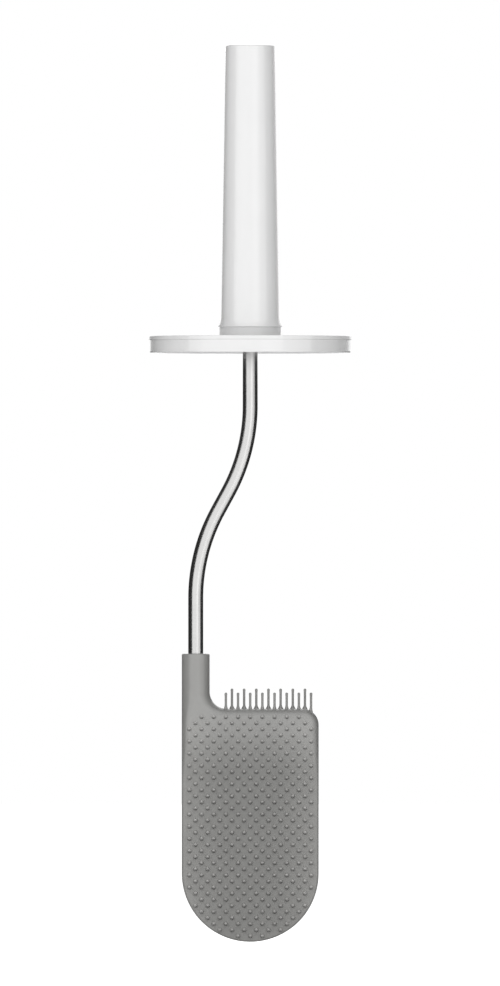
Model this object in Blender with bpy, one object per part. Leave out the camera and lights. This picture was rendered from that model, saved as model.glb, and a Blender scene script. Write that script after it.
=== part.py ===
"""Toilet brush: a white moulded handle and lid on a bent steel tube, with a flat silicone head.

The brush stands upright along Z with its tip at height zero. The handle, collar and lid are centred on the
Z axis. The nubbed front face of the head looks towards -Y, and the neck stands at -X.
"""
import math

import bmesh
import bpy
from mathutils import Matrix, Vector

# Gaps and cuts
GAP = 0.0003
CUT_OVERRUN = 0.002
WELD_DISTANCE = 0.000001
SMOOTH_ANGLE = 30

# Head outline, seen from the front
BLADE_WIDTH = 0.064
BLADE_HEIGHT = 0.109
CORNER_RADIUS = 0.0075
NECK_RADIUS = 0.0065
NECK_HEIGHT = 0.0258
NECK_FILLET = 0.008
NECK_RIM_RADIUS = 0.0007

# Head thickness, seen from the side: as thick as the neck at the top, thin and flexible at the tip
TIP_HALF_DEPTH = 0.003
TIP_EDGE_RADIUS = 0.001
TOP_EDGE_RADIUS = 0.0035
TAPER_MARGIN = 0.0015
TAPER_LENGTH = 0.026
TAPER_STEPS = 6
SHOULDER_STEPS = 3
EDGE_STEPS = 5
TIP_STEPS = 18
CORNER_STEPS = 5
FILLET_STEPS = 6

# Nubs, in a staggered grid on both faces
NUB_PITCH = 0.002846
NUB_TOP_MARGIN = 0.00375
NUB_ROOT_RADIUS = 0.001
NUB_EDGE_OVERLAP = 0.0001
NUB_TIP_RADIUS = 0.00055
NUB_TIP_HEIGHT = 0.0026
NUB_TOP_HEIGHT = 0.0013
NUB_SIDES = 3
SLICE_THICKNESS = 0.0008
SLICE_TIP_INSET = 0.0011
SLICE_TOP_INSET = 0.0023
SLICE_TIP_STEPS = 17
BACK_NUB_SPACING = 2

# Comb pins on the blade's top edge, in three rows that share the nubs' grid
COMB_START_OVERLAP = 0.0006
COMB_END_MARGIN = 0.0033
COMB_TALL = 0.0095
COMB_SHORT = 0.0076
PIN_ROOT_RADIUS = 0.0011
PIN_ROOT_HEIGHT = 0.0016
PIN_RADIUS = 0.0005
PIN_BULB_RADIUS = 0.0007
PIN_BULB_HEIGHT = 0.0007
PIN_BULB_SWELL = 0.0014
PIN_TIP_RADIUS = 0.00035
PIN_SIDES = 4
COMB_SLICE_SIDE_MARGIN = 0.00025
COMB_SLICE_THICKNESS = 0.0012
COMB_SLICE_MARGIN = 0.0014

# Rigid core inside the head
NECK_WALL = 0.001
STEM_COVER = 0.0015
STEM_FLOOR = 0.0025
ANCHOR_HALF_DEPTH = 0.002
ANCHOR_HEIGHT = 0.015
ANCHOR_DROP = 0.007
ANCHOR_SIDE_MARGIN = 0.0075
WEB_HALF_WIDTH = 0.004
KEYHOLE_RADIUS = 0.0025
KEYHOLE_SHARES = (0.42, 0.62, 0.82)
KEYHOLE_SIDES = 12

# Steel tube
TUBE_RADIUS = 0.0035
TUBE_WALL = 0.0007
TUBE_INSERTION = 0.0208
BEND_MIDDLE_SHARE = 0.5057
BEND_RADIUS = 0.085
BEND_STRAIGHT = 0.010
BEND_STEPS = 5
TUBE_SIDES = 16

# Plug and rubber ring at the tube's lower end
PLUG_LENGTH = 0.008
PLUG_FLANGE = 0.0008
PLUG_NOSE = 0.001
PLUG_CHAMFER = 0.0005
RING_WIRE_RADIUS = 0.0005
RING_CLEARANCE = 0.0002
RING_SIDE_CLEARANCE = 0.00025
RING_SIDES = 16
RING_WIRE_SIDES = 6

# Lid
LID_RIM_HEIGHT = 0.2755
LID_DEPTH = 0.0079
LID_LIP_RADIUS = 0.0475
LID_LIP_HEIGHT = 0.0011
LID_LIP_STEP = 0.0006
LID_LIP_ROUND = 0.0004
LID_WALL = 0.0024
LID_PLATE = 0.0022
LID_RIM_ROUND = 0.0008
LID_BOSS_CLEARANCE = 0.0012
LID_BOSS_WALL = 0.0018
LID_BOSS_HEIGHT = 0.004
LID_SIDES = 60

# Collar and handle
COLLAR_HEIGHT = 0.0036
COLLAR_RADIUS = 0.01435
COLLAR_ROUND = 0.0004
HANDLE_LENGTH = 0.1324
HANDLE_FOOT_RADIUS = 0.015
HANDLE_FOOT_ROUND = 0.0003
HANDLE_FOOT_BAND = 0.0003
HANDLE_BASE_RADIUS = 0.01365
HANDLE_TOP_RADIUS = 0.01155
HANDLE_TOP_ROUND = 0.0008
HANDLE_FLARE = 0.0046
HANDLE_FLARE_STEPS = 4
HANDLE_WALL = 0.0022
HANDLE_SIDES = 40
ROUND_STEPS = 2

# Cap in the handle's mouth
CAP_SEAT_DEPTH = 0.0016
MOUTH_RIM = 0.0002
CAP_SKIRT_WALL = 0.0012
CAP_SKIRT_HEIGHT = 0.006
CAP_CROWN = 0.0006
CAP_CROWN_STEPS = 3

# Core inside the handle
CORE_FLANGE = 0.003
CORE_TUBE_WALL = 0.0014
CORE_TUBE_DEPTH = 0.045
CORE_WEB = 0.003
CORE_WELL_CLEARANCE = 0.0008
CORE_WELL_DEPTH = 0.009
CORE_SIDES = 24
SPIGOT_WALL = 0.0011
SPIGOT_RIM_DEPTH = 0.0013
RIB_HALF_THICKNESS = 0.0008
RIB_COUNT = 4
RIB_ROOT_OVERLAP = 0.001

# Nut and seal under the lid
NUT_RADIUS = 0.0115
NUT_HEIGHT = 0.0034
SEAL_WIRE_RADIUS = 0.0008
SEAL_SEAT_DEPTH = 0.0022

# Screw, washer and threaded insert
SCREW_RADIUS = 0.0015
SCREW_LENGTH = 0.014
SCREW_HEAD_RADIUS = 0.0031
SCREW_HEAD_HEIGHT = 0.0024
SCREW_RECESS_RADIUS = 0.0014
SCREW_RECESS_DEPTH = 0.0013
WASHER_RADIUS = 0.0042
WASHER_HEIGHT = 0.0008
INSERT_LENGTH = 0.014
SCREW_SIDES = 16
HEX_SIDES = 6

# Places that follow from the sizes above
BLADE_HALF_WIDTH = BLADE_WIDTH / 2
NECK_X = NECK_RADIUS - BLADE_HALF_WIDTH
NECK_TOP = BLADE_HEIGHT + NECK_HEIGHT
NECK_SHOULDER = BLADE_HEIGHT + NECK_FILLET
NECK_RIM = NECK_TOP - NECK_RIM_RADIUS
CORNER_HEIGHT = BLADE_HEIGHT - CORNER_RADIUS
TAPER_HIGH = CORNER_HEIGHT - TAPER_MARGIN
TAPER_LOW = TAPER_HIGH - TAPER_LENGTH
FILLET_X = NECK_X + NECK_RADIUS + NECK_FILLET
LID_TOP = LID_RIM_HEIGHT + LID_DEPTH
LID_PLATE_UNDERSIDE = LID_TOP - LID_PLATE
COLLAR_FOOT = LID_TOP + GAP
COLLAR_TOP = COLLAR_FOOT + COLLAR_HEIGHT
HANDLE_FOOT = COLLAR_TOP + GAP
HANDLE_TOP = HANDLE_FOOT + HANDLE_LENGTH
TUBE_TOP = LID_TOP + CORE_TUBE_DEPTH
TUBE_END = NECK_TOP - TUBE_INSERTION
TUBE_BORE = TUBE_RADIUS - TUBE_WALL
BEND_MIDDLE = NECK_TOP + (LID_RIM_HEIGHT - NECK_TOP) * BEND_MIDDLE_SHARE
SOCKET_RADIUS = TUBE_RADIUS + GAP
STEM_RADIUS = NECK_RADIUS - NECK_WALL - GAP
RING_RADIUS = SOCKET_RADIUS - RING_CLEARANCE - RING_WIRE_RADIUS
PLUG_GROOVE_RADIUS = RING_RADIUS - RING_WIRE_RADIUS - GAP
PLUG_GROOVE_HEIGHT = 2 * (RING_WIRE_RADIUS + RING_SIDE_CLEARANCE)
PLUG_FACE = TUBE_END - GAP
PLUG_GROOVE_TOP = PLUG_FACE - PLUG_FLANGE
PLUG_GROOVE_LOW = PLUG_GROOVE_TOP - PLUG_GROOVE_HEIGHT
PLUG_TIP = PLUG_GROOVE_LOW - PLUG_NOSE
SOCKET_FLOOR = PLUG_TIP - GAP
STEM_TOP = NECK_TOP - STEM_COVER
STEM_FOOT = SOCKET_FLOOR - STEM_FLOOR
ANCHOR_TOP = BLADE_HEIGHT - ANCHOR_DROP
ANCHOR_LOW = ANCHOR_TOP - ANCHOR_HEIGHT
WEB_SEAT = TUBE_TOP + GAP
WEB_TOP = WEB_SEAT + CORE_WEB
CORE_TOP = WEB_TOP + CORE_WELL_DEPTH
SPIGOT_FOOT = LID_RIM_HEIGHT + SPIGOT_RIM_DEPTH
SEAL_RADIUS = SOCKET_RADIUS + SEAL_WIRE_RADIUS
SEAL_SEAT_RADIUS = SEAL_RADIUS + SEAL_WIRE_RADIUS + GAP
SPIGOT_RADIUS = SEAL_SEAT_RADIUS + SPIGOT_WALL
SPIGOT_BORE = SPIGOT_RADIUS + GAP
SEAL_HEIGHT = SPIGOT_FOOT + SEAL_SEAT_DEPTH - SEAL_WIRE_RADIUS - GAP
WASHER_SEAT = WEB_TOP + GAP
HEAD_SEAT = WASHER_SEAT + WASHER_HEIGHT + GAP
CORE_WELL_RADIUS = WASHER_RADIUS + CORE_WELL_CLEARANCE
CORE_TUBE_RADIUS = CORE_WELL_RADIUS + CORE_TUBE_WALL
LID_BOSS_BORE = NUT_RADIUS + LID_BOSS_CLEARANCE
LID_BOSS_RADIUS = LID_BOSS_BORE + LID_BOSS_WALL
MOUTH_RADIUS = HANDLE_TOP_RADIUS - HANDLE_TOP_ROUND - MOUTH_RIM
MOUTH_TOP = HANDLE_TOP - CAP_CROWN
MOUTH_SEAT = MOUTH_TOP - CAP_SEAT_DEPTH
NUB_SLICE_MARGIN = NUB_ROOT_RADIUS - NUB_EDGE_OVERLAP
COMB_SLICE_HALF_DEPTH = NUB_PITCH + PIN_ROOT_RADIUS + COMB_SLICE_SIDE_MARGIN

# Colours of the finishes, with roughness and metallic value
WHITE_GLOSS = ((0.86, 0.86, 0.86), 0.12, 0.0)
WHITE_MATTE = ((0.74, 0.74, 0.72), 0.5, 0.0)
PALE_GREY = ((0.58, 0.58, 0.58), 0.25, 0.0)
POLISHED_STEEL = ((0.72, 0.72, 0.72), 0.12, 1.0)
BRASS = ((0.72, 0.52, 0.22), 0.3, 1.0)
GREY_SILICONE = ((0.24, 0.235, 0.225), 0.55, 0.0)
CORE_GREY = ((0.35, 0.35, 0.36), 0.5, 0.0)
BLACK_RUBBER = ((0.02, 0.02, 0.02), 0.6, 0.0)


def clear_scene():
    """Remove every object of the file that the script starts in."""
    for obj in list(bpy.data.objects):
        bpy.data.objects.remove(obj, do_unlink=True)


def finish(name, colour, roughness, metallic):
    """A Principled material."""
    material = bpy.data.materials.new(name)
    material.use_nodes = True
    shader = material.node_tree.nodes["Principled BSDF"]
    shader.inputs["Base Color"].default_value = (*colour, 1.0)
    shader.inputs["Roughness"].default_value = roughness
    shader.inputs["Metallic"].default_value = metallic
    material.diffuse_color = (*colour, 1.0)
    return material


def place(name, bm, look=None, parent=None):
    """Weld and close a bmesh, and link it as an object with its own material, or as a cutter without one."""
    bmesh.ops.remove_doubles(bm, verts=bm.verts, dist=WELD_DISTANCE)
    bmesh.ops.recalc_face_normals(bm, faces=bm.faces)
    mesh = bpy.data.meshes.new(name)
    bm.to_mesh(mesh)
    bm.free()
    mesh.shade_smooth()
    mesh.set_sharp_from_angle(angle=math.radians(SMOOTH_ANGLE))
    obj = bpy.data.objects.new(name, mesh)
    bpy.context.scene.collection.objects.link(obj)
    if look is None:
        obj.hide_render = True
        obj.display_type = "WIRE"
    else:
        mesh.materials.append(finish(name + "_finish", *look))
    if parent is not None:
        obj.parent = parent
        obj.matrix_parent_inverse = Matrix.Translation(-parent.location)
    return obj


def combine(obj, operation, other):
    """Add a Boolean modifier that joins another object to this one or cuts it away."""
    modifier = obj.modifiers.new(other.name, "BOOLEAN")
    modifier.operation = operation
    modifier.solver = "EXACT"
    modifier.object = other


def add_face(bm, points):
    """Add one face on corners of its own; they are welded when the object is placed."""
    bm.faces.new([bm.verts.new(point) for point in points])


def arc(centre_x, centre_z, radius, start, end, steps):
    """Points of an arc from one angle in degrees to another, both ends included."""
    angles = [math.radians(start + (end - start) * step / steps) for step in range(steps + 1)]
    return [(centre_x + radius * math.cos(a), centre_z + radius * math.sin(a)) for a in angles]


def eased_share(value):
    """Go from 0 to 1 with level ends."""
    share = min(max(value, 0.0), 1.0)
    return share * share * (3 - 2 * share)


def taper_share(height):
    """0 on the thin lower blade, 1 on its thick top, eased over the taper."""
    return eased_share((height - TAPER_LOW) / TAPER_LENGTH)


def half_depth(height):
    """Half the blade's thickness at a height."""
    return TIP_HALF_DEPTH + (NECK_RADIUS - TIP_HALF_DEPTH) * taper_share(height)


def taper_heights():
    """Heights of the blade's taper from its top to its foot."""
    return [TAPER_HIGH - TAPER_LENGTH * step / TAPER_STEPS for step in range(TAPER_STEPS + 1)]


def turned(profile, sides, centre_x=0.0):
    """Spin a closed profile of (radius, height) corners about an upright axis."""
    bm = bmesh.new()
    corners = [bm.verts.new((radius, 0, height)) for radius, height in profile]
    pairs = zip(corners, corners[1:] + corners[:1])
    edges = [bm.edges.new(pair) for pair in pairs if pair[0].co.x > 0 or pair[1].co.x > 0]
    bmesh.ops.spin(bm, geom=corners + edges, cent=(0, 0, 0), axis=(0, 0, 1), angle=math.tau, steps=sides)
    bmesh.ops.translate(bm, verts=bm.verts, vec=(centre_x, 0, 0))
    return bm


def prism(outline, front, back):
    """Extrude an outline of (x, z) corners from one depth to another."""
    bm = bmesh.new()
    face = bm.faces.new([bm.verts.new((x, front, z)) for x, z in outline])
    swept = bmesh.ops.extrude_face_region(bm, geom=[face])["geom"]
    moved = [item for item in swept if isinstance(item, bmesh.types.BMVert)]
    bmesh.ops.translate(bm, verts=moved, vec=(0, back - front, 0))
    return bm


def add_strand(bm, rings, sides):
    """Loft a closed strand through rings given as (centre, axis one, axis two, radius)."""
    turns = [math.tau * side / sides for side in range(sides)]
    loops = [[centre + (across * math.cos(t) + along * math.sin(t)) * radius for t in turns]
             for centre, across, along, radius in rings]
    for low, high in zip(loops, loops[1:]):
        for side in range(sides):
            after = (side + 1) % sides
            add_face(bm, (low[side], low[after], high[after], high[side]))
    add_face(bm, loops[0])
    add_face(bm, loops[-1])


def cap_bands(bm, ring, left_first, right_first, first, last):
    """Close a blade-shaped ring: a flat top, one strip for each step of the taper, and a flat tip."""
    left_last = left_first + TAPER_STEPS
    right_last = right_first + TAPER_STEPS
    add_face(bm, ring[right_last:last + 1] + ring[first:left_first + 1])
    add_face(bm, ring[left_last:right_first + 1])
    for step in range(TAPER_STEPS):
        left = left_first + step
        right = right_last - step
        add_face(bm, (ring[left], ring[left + 1], ring[right - 1], ring[right]))


def head_chain():
    """The head's outline from the neck's top left round the tip to its top right.

    Each entry is (x, z, inward x, inward z, edge radius). Also gives where the two tapers start.
    """
    chain = [(-BLADE_HALF_WIDTH, NECK_RIM, 1, 0, NECK_RADIUS)]
    for step in range(SHOULDER_STEPS):
        share = eased_share(step / SHOULDER_STEPS)
        height = NECK_SHOULDER + (TAPER_HIGH - NECK_SHOULDER) * step / SHOULDER_STEPS
        radius = NECK_RADIUS + (TOP_EDGE_RADIUS - NECK_RADIUS) * share
        chain.append((-BLADE_HALF_WIDTH, height, 1, 0, radius))
    left_first = len(chain)
    radii = [TIP_EDGE_RADIUS + (TOP_EDGE_RADIUS - TIP_EDGE_RADIUS) * taper_share(z) for z in taper_heights()]
    sides = list(zip(taper_heights(), radii))
    chain += [(-BLADE_HALF_WIDTH, z, 1, 0, radius) for z, radius in sides]
    tip = arc(0, BLADE_HALF_WIDTH, BLADE_HALF_WIDTH, 180, 360, TIP_STEPS)
    for (x, z), (inward_x, inward_z) in zip(tip, arc(0, 0, -1, 180, 360, TIP_STEPS)):
        chain.append((x, z, inward_x, inward_z, TIP_EDGE_RADIUS))
    right_first = len(chain)
    chain += [(BLADE_HALF_WIDTH, z, -1, 0, radius) for z, radius in reversed(sides)]
    corner = arc(BLADE_HALF_WIDTH - CORNER_RADIUS, CORNER_HEIGHT, CORNER_RADIUS, 0, 90, CORNER_STEPS)
    for (x, z), (inward_x, inward_z) in zip(corner, arc(0, 0, -1, 0, 90, CORNER_STEPS)):
        chain.append((x, z, inward_x, inward_z, TOP_EDGE_RADIUS))
    fillet = arc(FILLET_X, NECK_SHOULDER, NECK_FILLET, 270, 180, FILLET_STEPS)
    for step, ((x, z), (inward_x, inward_z)) in enumerate(zip(fillet, arc(0, 0, 1, 270, 180, FILLET_STEPS))):
        radius = TOP_EDGE_RADIUS + (NECK_RADIUS - TOP_EDGE_RADIUS) * eased_share(step / FILLET_STEPS)
        chain.append((x, z, inward_x, inward_z, radius))
    chain.append((NECK_X + NECK_RADIUS, NECK_RIM, -1, 0, NECK_RADIUS))
    return chain, left_first, right_first


def edge_rings(chain, side):
    """Rings that roll from the outline over its rounded edge on to a face; side is -1 in front, 1 behind."""
    rings = []
    for step in range(EDGE_STEPS + 1):
        turn = math.radians(90) * step / EDGE_STEPS
        ring = []
        for x, z, inward_x, inward_z, radius in chain:
            inset = radius * (1 - math.cos(turn))
            point_x = x + inward_x * inset
            point_z = z + inward_z * inset
            depth = half_depth(point_z) - radius * (1 - math.sin(turn))
            ring.append(Vector((point_x, side * depth, point_z)))
        rings.append(ring)
    return rings


def neck_mouth(front, back):
    """The loop of points round the neck's top, from the ends of the rings on both faces."""
    left_front = [ring[0] for ring in front]
    right_front = [ring[-1] for ring in reversed(front)]
    right_back = [ring[-1] for ring in back]
    left_back = [ring[0] for ring in reversed(back)]
    return left_front + right_front[1:] + right_back[1:] + left_back[1:-1]


def head_solid():
    """The head's outer form as one closed mesh: round neck, fillet, tapering blade with rounded edges."""
    chain, left_first, right_first = head_chain()
    front = edge_rings(chain, -1)
    back = edge_rings(chain, 1)
    bm = bmesh.new()
    around = list(reversed(back)) + front
    for low, high in zip(around, around[1:]):
        for place_now in range(len(chain) - 1):
            after = place_now + 1
            add_face(bm, (low[place_now], low[after], high[after], high[place_now]))
    for ring in (front[-1], back[-1]):
        cap_bands(bm, ring, left_first, right_first, 1, len(chain) - 2)
    mouth = neck_mouth(front, back)
    axis = Vector((NECK_X, 0, 0))
    loops = []
    for step in range(ROUND_STEPS + 1):
        turn = math.radians(90) * step / ROUND_STEPS
        scale = 1 - NECK_RIM_RADIUS * (1 - math.cos(turn)) / NECK_RADIUS
        rise = Vector((0, 0, NECK_RIM_RADIUS * math.sin(turn)))
        height = Vector((0, 0, NECK_RIM))
        loops.append([axis + (point - axis - height) * scale + height + rise for point in mouth])
    for low, high in zip(loops, loops[1:]):
        for number in range(len(mouth)):
            after = (number + 1) % len(mouth)
            add_face(bm, (low[number], low[after], high[after], high[number]))
    add_face(bm, loops[-1])
    return bm


def blade_ring(tip_inset, top_inset, depth_of):
    """A closed blade-shaped ring inside the outline, at the depth that a function gives for each height."""
    low_half_width = BLADE_HALF_WIDTH - tip_inset
    narrowing = top_inset - tip_inset
    sides = [(low_half_width - narrowing * taper_share(z), z) for z in taper_heights()]
    outline = [(-half_width, z) for half_width, z in sides]
    outline += arc(0, BLADE_HALF_WIDTH, BLADE_HALF_WIDTH - tip_inset, 180, 360, SLICE_TIP_STEPS)
    outline += [(half_width, z) for half_width, z in reversed(sides)]
    corner_x = BLADE_HALF_WIDTH - CORNER_RADIUS
    outline += arc(corner_x, CORNER_HEIGHT, CORNER_RADIUS - top_inset, 0, 90, CORNER_STEPS)
    outline += arc(-corner_x, CORNER_HEIGHT, CORNER_RADIUS - top_inset, 90, 180, CORNER_STEPS)
    return [Vector((x, depth_of(z), z)) for x, z in outline]


def slice_solid(side, grow):
    """The slice of backing under one face's nubs, or its pocket when grown."""
    outer = blade_ring(SLICE_TIP_INSET - grow, SLICE_TOP_INSET - grow,
                       lambda z: side * (half_depth(z) + (CUT_OVERRUN if grow else 0)))
    inner = blade_ring(SLICE_TIP_INSET - grow, SLICE_TOP_INSET - grow,
                       lambda z: side * (half_depth(z) - SLICE_THICKNESS - grow))
    bm = bmesh.new()
    left_first = 0
    right_first = TAPER_STEPS + 1 + SLICE_TIP_STEPS + 1
    for ring in (outer, inner):
        cap_bands(bm, ring, left_first, right_first, 0, len(ring) - 1)
    for number in range(len(outer)):
        after = (number + 1) % len(outer)
        add_face(bm, (outer[number], outer[after], inner[after], inner[number]))
    return bm


def edge_distance(x, z):
    """Distance of a point from the outline of a blade with two round top corners."""
    across = abs(x)
    if z < BLADE_HALF_WIDTH:
        return BLADE_HALF_WIDTH - math.hypot(across, z - BLADE_HALF_WIDTH)
    over_x = across - (BLADE_HALF_WIDTH - CORNER_RADIUS)
    over_z = z - CORNER_HEIGHT
    if over_x > 0 and over_z > 0:
        return CORNER_RADIUS - math.hypot(over_x, over_z)
    return min(BLADE_HALF_WIDTH - across, BLADE_HEIGHT - z)


def nub_places(spacing):
    """Centres of the staggered nubs that stand fully on the slice; spacing 1 is the full grid."""
    columns = int(BLADE_HALF_WIDTH / NUB_PITCH)
    rows = int(BLADE_HEIGHT / NUB_PITCH) + 1
    places = []
    for row in range(rows):
        for column in range(-columns, columns + 1):
            x = column * NUB_PITCH
            z = BLADE_HEIGHT - NUB_TOP_MARGIN - row * NUB_PITCH
            on_grid = row % spacing == 0 and column % spacing == 0 and (row + column) // spacing % 2 == 0
            inset = SLICE_TIP_INSET + (SLICE_TOP_INSET - SLICE_TIP_INSET) * taper_share(z)
            if on_grid and edge_distance(x, z) > inset + NUB_SLICE_MARGIN:
                places.append((x, z))
    return places


def nub_strands(side, spacing):
    """The nubs of one face as tapering strands, rooted inside the slice."""
    bm = bmesh.new()
    for x, z in nub_places(spacing):
        height = NUB_TIP_HEIGHT + (NUB_TOP_HEIGHT - NUB_TIP_HEIGHT) * taper_share(z)
        root = Vector((x, side * (half_depth(z) - SLICE_THICKNESS / 2), z))
        tip = Vector((x, side * (half_depth(z) + height), z))
        across = Vector((0, 0, 1))
        along = Vector((1, 0, 0))
        rings = ((root, across, along, NUB_ROOT_RADIUS), (tip, across, along, NUB_TIP_RADIUS))
        add_strand(bm, rings, NUB_SIDES)
    return bm


def top_edge(x, inset=0.0):
    """Height of the blade's top edge at x, or of a line that far inside it."""
    corner_x = BLADE_HALF_WIDTH - CORNER_RADIUS
    if x > corner_x:
        return CORNER_HEIGHT + math.sqrt(max((CORNER_RADIUS - inset) ** 2 - (x - corner_x) ** 2, 0.0))
    if x < FILLET_X:
        return NECK_SHOULDER - math.sqrt((NECK_FILLET + inset) ** 2 - (FILLET_X - x) ** 2)
    return BLADE_HEIGHT - inset


def comb_columns():
    """Column numbers and x of the comb's pins, which follow the nubs' grid from the fillet to the corner."""
    first = math.ceil((FILLET_X - COMB_START_OVERLAP) / NUB_PITCH)
    last = math.floor((BLADE_HALF_WIDTH - COMB_END_MARGIN) / NUB_PITCH)
    return [(column, column * NUB_PITCH) for column in range(first, last + 1)]


def comb_slice(grow):
    """The slice of backing under the comb along the blade's top edge, or its pocket when grown."""
    low_x = comb_columns()[0][1] - COMB_SLICE_MARGIN - grow
    high_x = comb_columns()[-1][1] + COMB_SLICE_MARGIN + grow
    corner_x = BLADE_HALF_WIDTH - CORNER_RADIUS
    curve = [corner_x + (high_x - corner_x) * step / CORNER_STEPS for step in range(CORNER_STEPS + 1)]
    xs = [low_x, FILLET_X] + curve
    rise = CUT_OVERRUN if grow else 0
    upper = [(x, top_edge(x) + rise) for x in xs]
    lower = [(x, top_edge(x, COMB_SLICE_THICKNESS + grow)) for x in reversed(xs)]
    depth = COMB_SLICE_HALF_DEPTH + grow
    return prism(upper + lower, -depth, depth)


def comb_strands():
    """The comb's pins: tall ones in the middle row, short ones in the front and back rows."""
    bm = bmesh.new()
    for column, x in comb_columns():
        tall = column % 2 == 1
        top = BLADE_HEIGHT + (COMB_TALL if tall else COMB_SHORT)
        root = top_edge(x) - COMB_SLICE_THICKNESS / 2
        flare = top_edge(x) + PIN_ROOT_HEIGHT
        bulb = top - PIN_BULB_HEIGHT
        heights = (root, flare, bulb - PIN_BULB_SWELL, bulb, top)
        radii = (PIN_ROOT_RADIUS, PIN_RADIUS, PIN_RADIUS, PIN_BULB_RADIUS, PIN_TIP_RADIUS)
        for y in ((0,) if tall else (-NUB_PITCH, NUB_PITCH)):
            rings = [(Vector((x, y, height)), Vector((1, 0, 0)), Vector((0, 1, 0)), radius)
                     for height, radius in zip(heights, radii)]
            add_strand(bm, rings, PIN_SIDES)
    return bm


def anchor_outline(grow):
    """The core's anchor plate and the web that carries it, as one outline, grown for its cavity."""
    web_left = NECK_X - WEB_HALF_WIDTH - grow
    web_right = NECK_X + WEB_HALF_WIDTH + grow
    right = BLADE_HALF_WIDTH - ANCHOR_SIDE_MARGIN + grow
    web_top = STEM_FOOT + STEM_FLOOR / 2
    return [(web_left, web_top), (web_left, ANCHOR_LOW - grow), (right, ANCHOR_LOW - grow),
            (right, ANCHOR_TOP + grow), (web_right, ANCHOR_TOP + grow), (web_right, web_top)]


def anchor_solid(name, grow, parent):
    """The anchor plate with the holes that the silicone keys through, or its cavity when grown."""
    depth = ANCHOR_HALF_DEPTH + grow
    plate = place(name, prism(anchor_outline(grow), -depth, depth), parent=parent)
    left = NECK_X - WEB_HALF_WIDTH
    width = BLADE_HALF_WIDTH - ANCHOR_SIDE_MARGIN - left
    middle = ANCHOR_LOW + ANCHOR_HEIGHT / 2
    reach = depth + CUT_OVERRUN
    for number, share in enumerate(KEYHOLE_SHARES):
        ring = arc(left + width * share, middle, KEYHOLE_RADIUS - grow, 0, 360, KEYHOLE_SIDES)[:-1]
        hole = place(f"{name}_keyhole_{number + 1}", prism(ring, -reach, reach), parent=parent)
        combine(plate, "DIFFERENCE", hole)
    return plate


def build_head_core(parent):
    """Rigid socket for the tube, with the anchor plate that holds the silicone."""
    profile = [(0, STEM_FOOT), (STEM_RADIUS, STEM_FOOT), (STEM_RADIUS, STEM_TOP), (SOCKET_RADIUS, STEM_TOP),
               (SOCKET_RADIUS, SOCKET_FLOOR), (0, SOCKET_FLOOR)]
    core = place("head_core", turned(profile, CORE_SIDES, NECK_X), CORE_GREY, parent)
    combine(core, "UNION", anchor_solid("anchor_plate", 0, parent))


def build_head_skin(parent):
    """Silicone neck and blade, moulded over the core, with pockets for the nubs' and the comb's backing."""
    skin = place("head_skin", head_solid(), GREY_SILICONE, parent)
    wall = STEM_RADIUS + GAP
    mouth = NECK_TOP + CUT_OVERRUN
    profile = [(0, STEM_FOOT - GAP), (wall, STEM_FOOT - GAP), (wall, STEM_TOP + GAP),
               (SOCKET_RADIUS, STEM_TOP + GAP), (SOCKET_RADIUS, mouth), (0, mouth)]
    combine(skin, "DIFFERENCE", place("stem_cavity", turned(profile, CORE_SIDES, NECK_X), parent=parent))
    combine(skin, "DIFFERENCE", anchor_solid("anchor_cavity", GAP, parent))
    combine(skin, "DIFFERENCE", place("front_pocket", slice_solid(-1, GAP), parent=parent))
    combine(skin, "DIFFERENCE", place("back_pocket", slice_solid(1, GAP), parent=parent))
    combine(skin, "DIFFERENCE", place("comb_pocket", comb_slice(GAP), parent=parent))


def build_nubs(parent):
    """Nubs on both faces, each face's on its slice of backing, spaced wider on the back."""
    front = place("front_nubs", slice_solid(-1, 0), GREY_SILICONE, parent)
    combine(front, "UNION", place("front_strands", nub_strands(-1, 1), parent=parent))
    back = place("back_nubs", slice_solid(1, 0), GREY_SILICONE, parent)
    combine(back, "UNION", place("back_strands", nub_strands(1, BACK_NUB_SPACING), parent=parent))


def build_comb(parent):
    """Comb of thin pins on the blade's top edge."""
    comb = place("comb", comb_slice(0), GREY_SILICONE, parent)
    combine(comb, "UNION", place("comb_strands", comb_strands(), parent=parent))


def tube_path():
    """Centre line of the tube from its top end down to the head, with the tangent at each point.

    Two equal arcs with a short straight run between them shift the line sideways to the neck.
    """
    shift = -NECK_X
    angle = math.acos((2 * BEND_RADIUS - shift) / math.hypot(2 * BEND_RADIUS, BEND_STRAIGHT))
    angle -= math.atan2(BEND_STRAIGHT, 2 * BEND_RADIUS)
    bend_top = BEND_MIDDLE + BEND_RADIUS * math.sin(angle) + BEND_STRAIGHT / 2 * math.cos(angle)
    path = [(Vector((0, 0, TUBE_TOP)), 0.0)]
    for step in range(BEND_STEPS + 1):
        turn = angle * step / BEND_STEPS
        aside = -BEND_RADIUS * (1 - math.cos(turn))
        path.append((Vector((aside, 0, bend_top - BEND_RADIUS * math.sin(turn))), turn))
    start = path[-1][0] + Vector((-math.sin(angle), 0, -math.cos(angle))) * BEND_STRAIGHT
    centre = start + Vector((math.cos(angle), 0, -math.sin(angle))) * BEND_RADIUS
    for step in range(BEND_STEPS + 1):
        turn = angle * (1 - step / BEND_STEPS)
        path.append((centre + Vector((-math.cos(turn), 0, math.sin(turn))) * BEND_RADIUS, turn))
    path.append((Vector((NECK_X, 0, TUBE_END)), 0.0))
    return path


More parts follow.
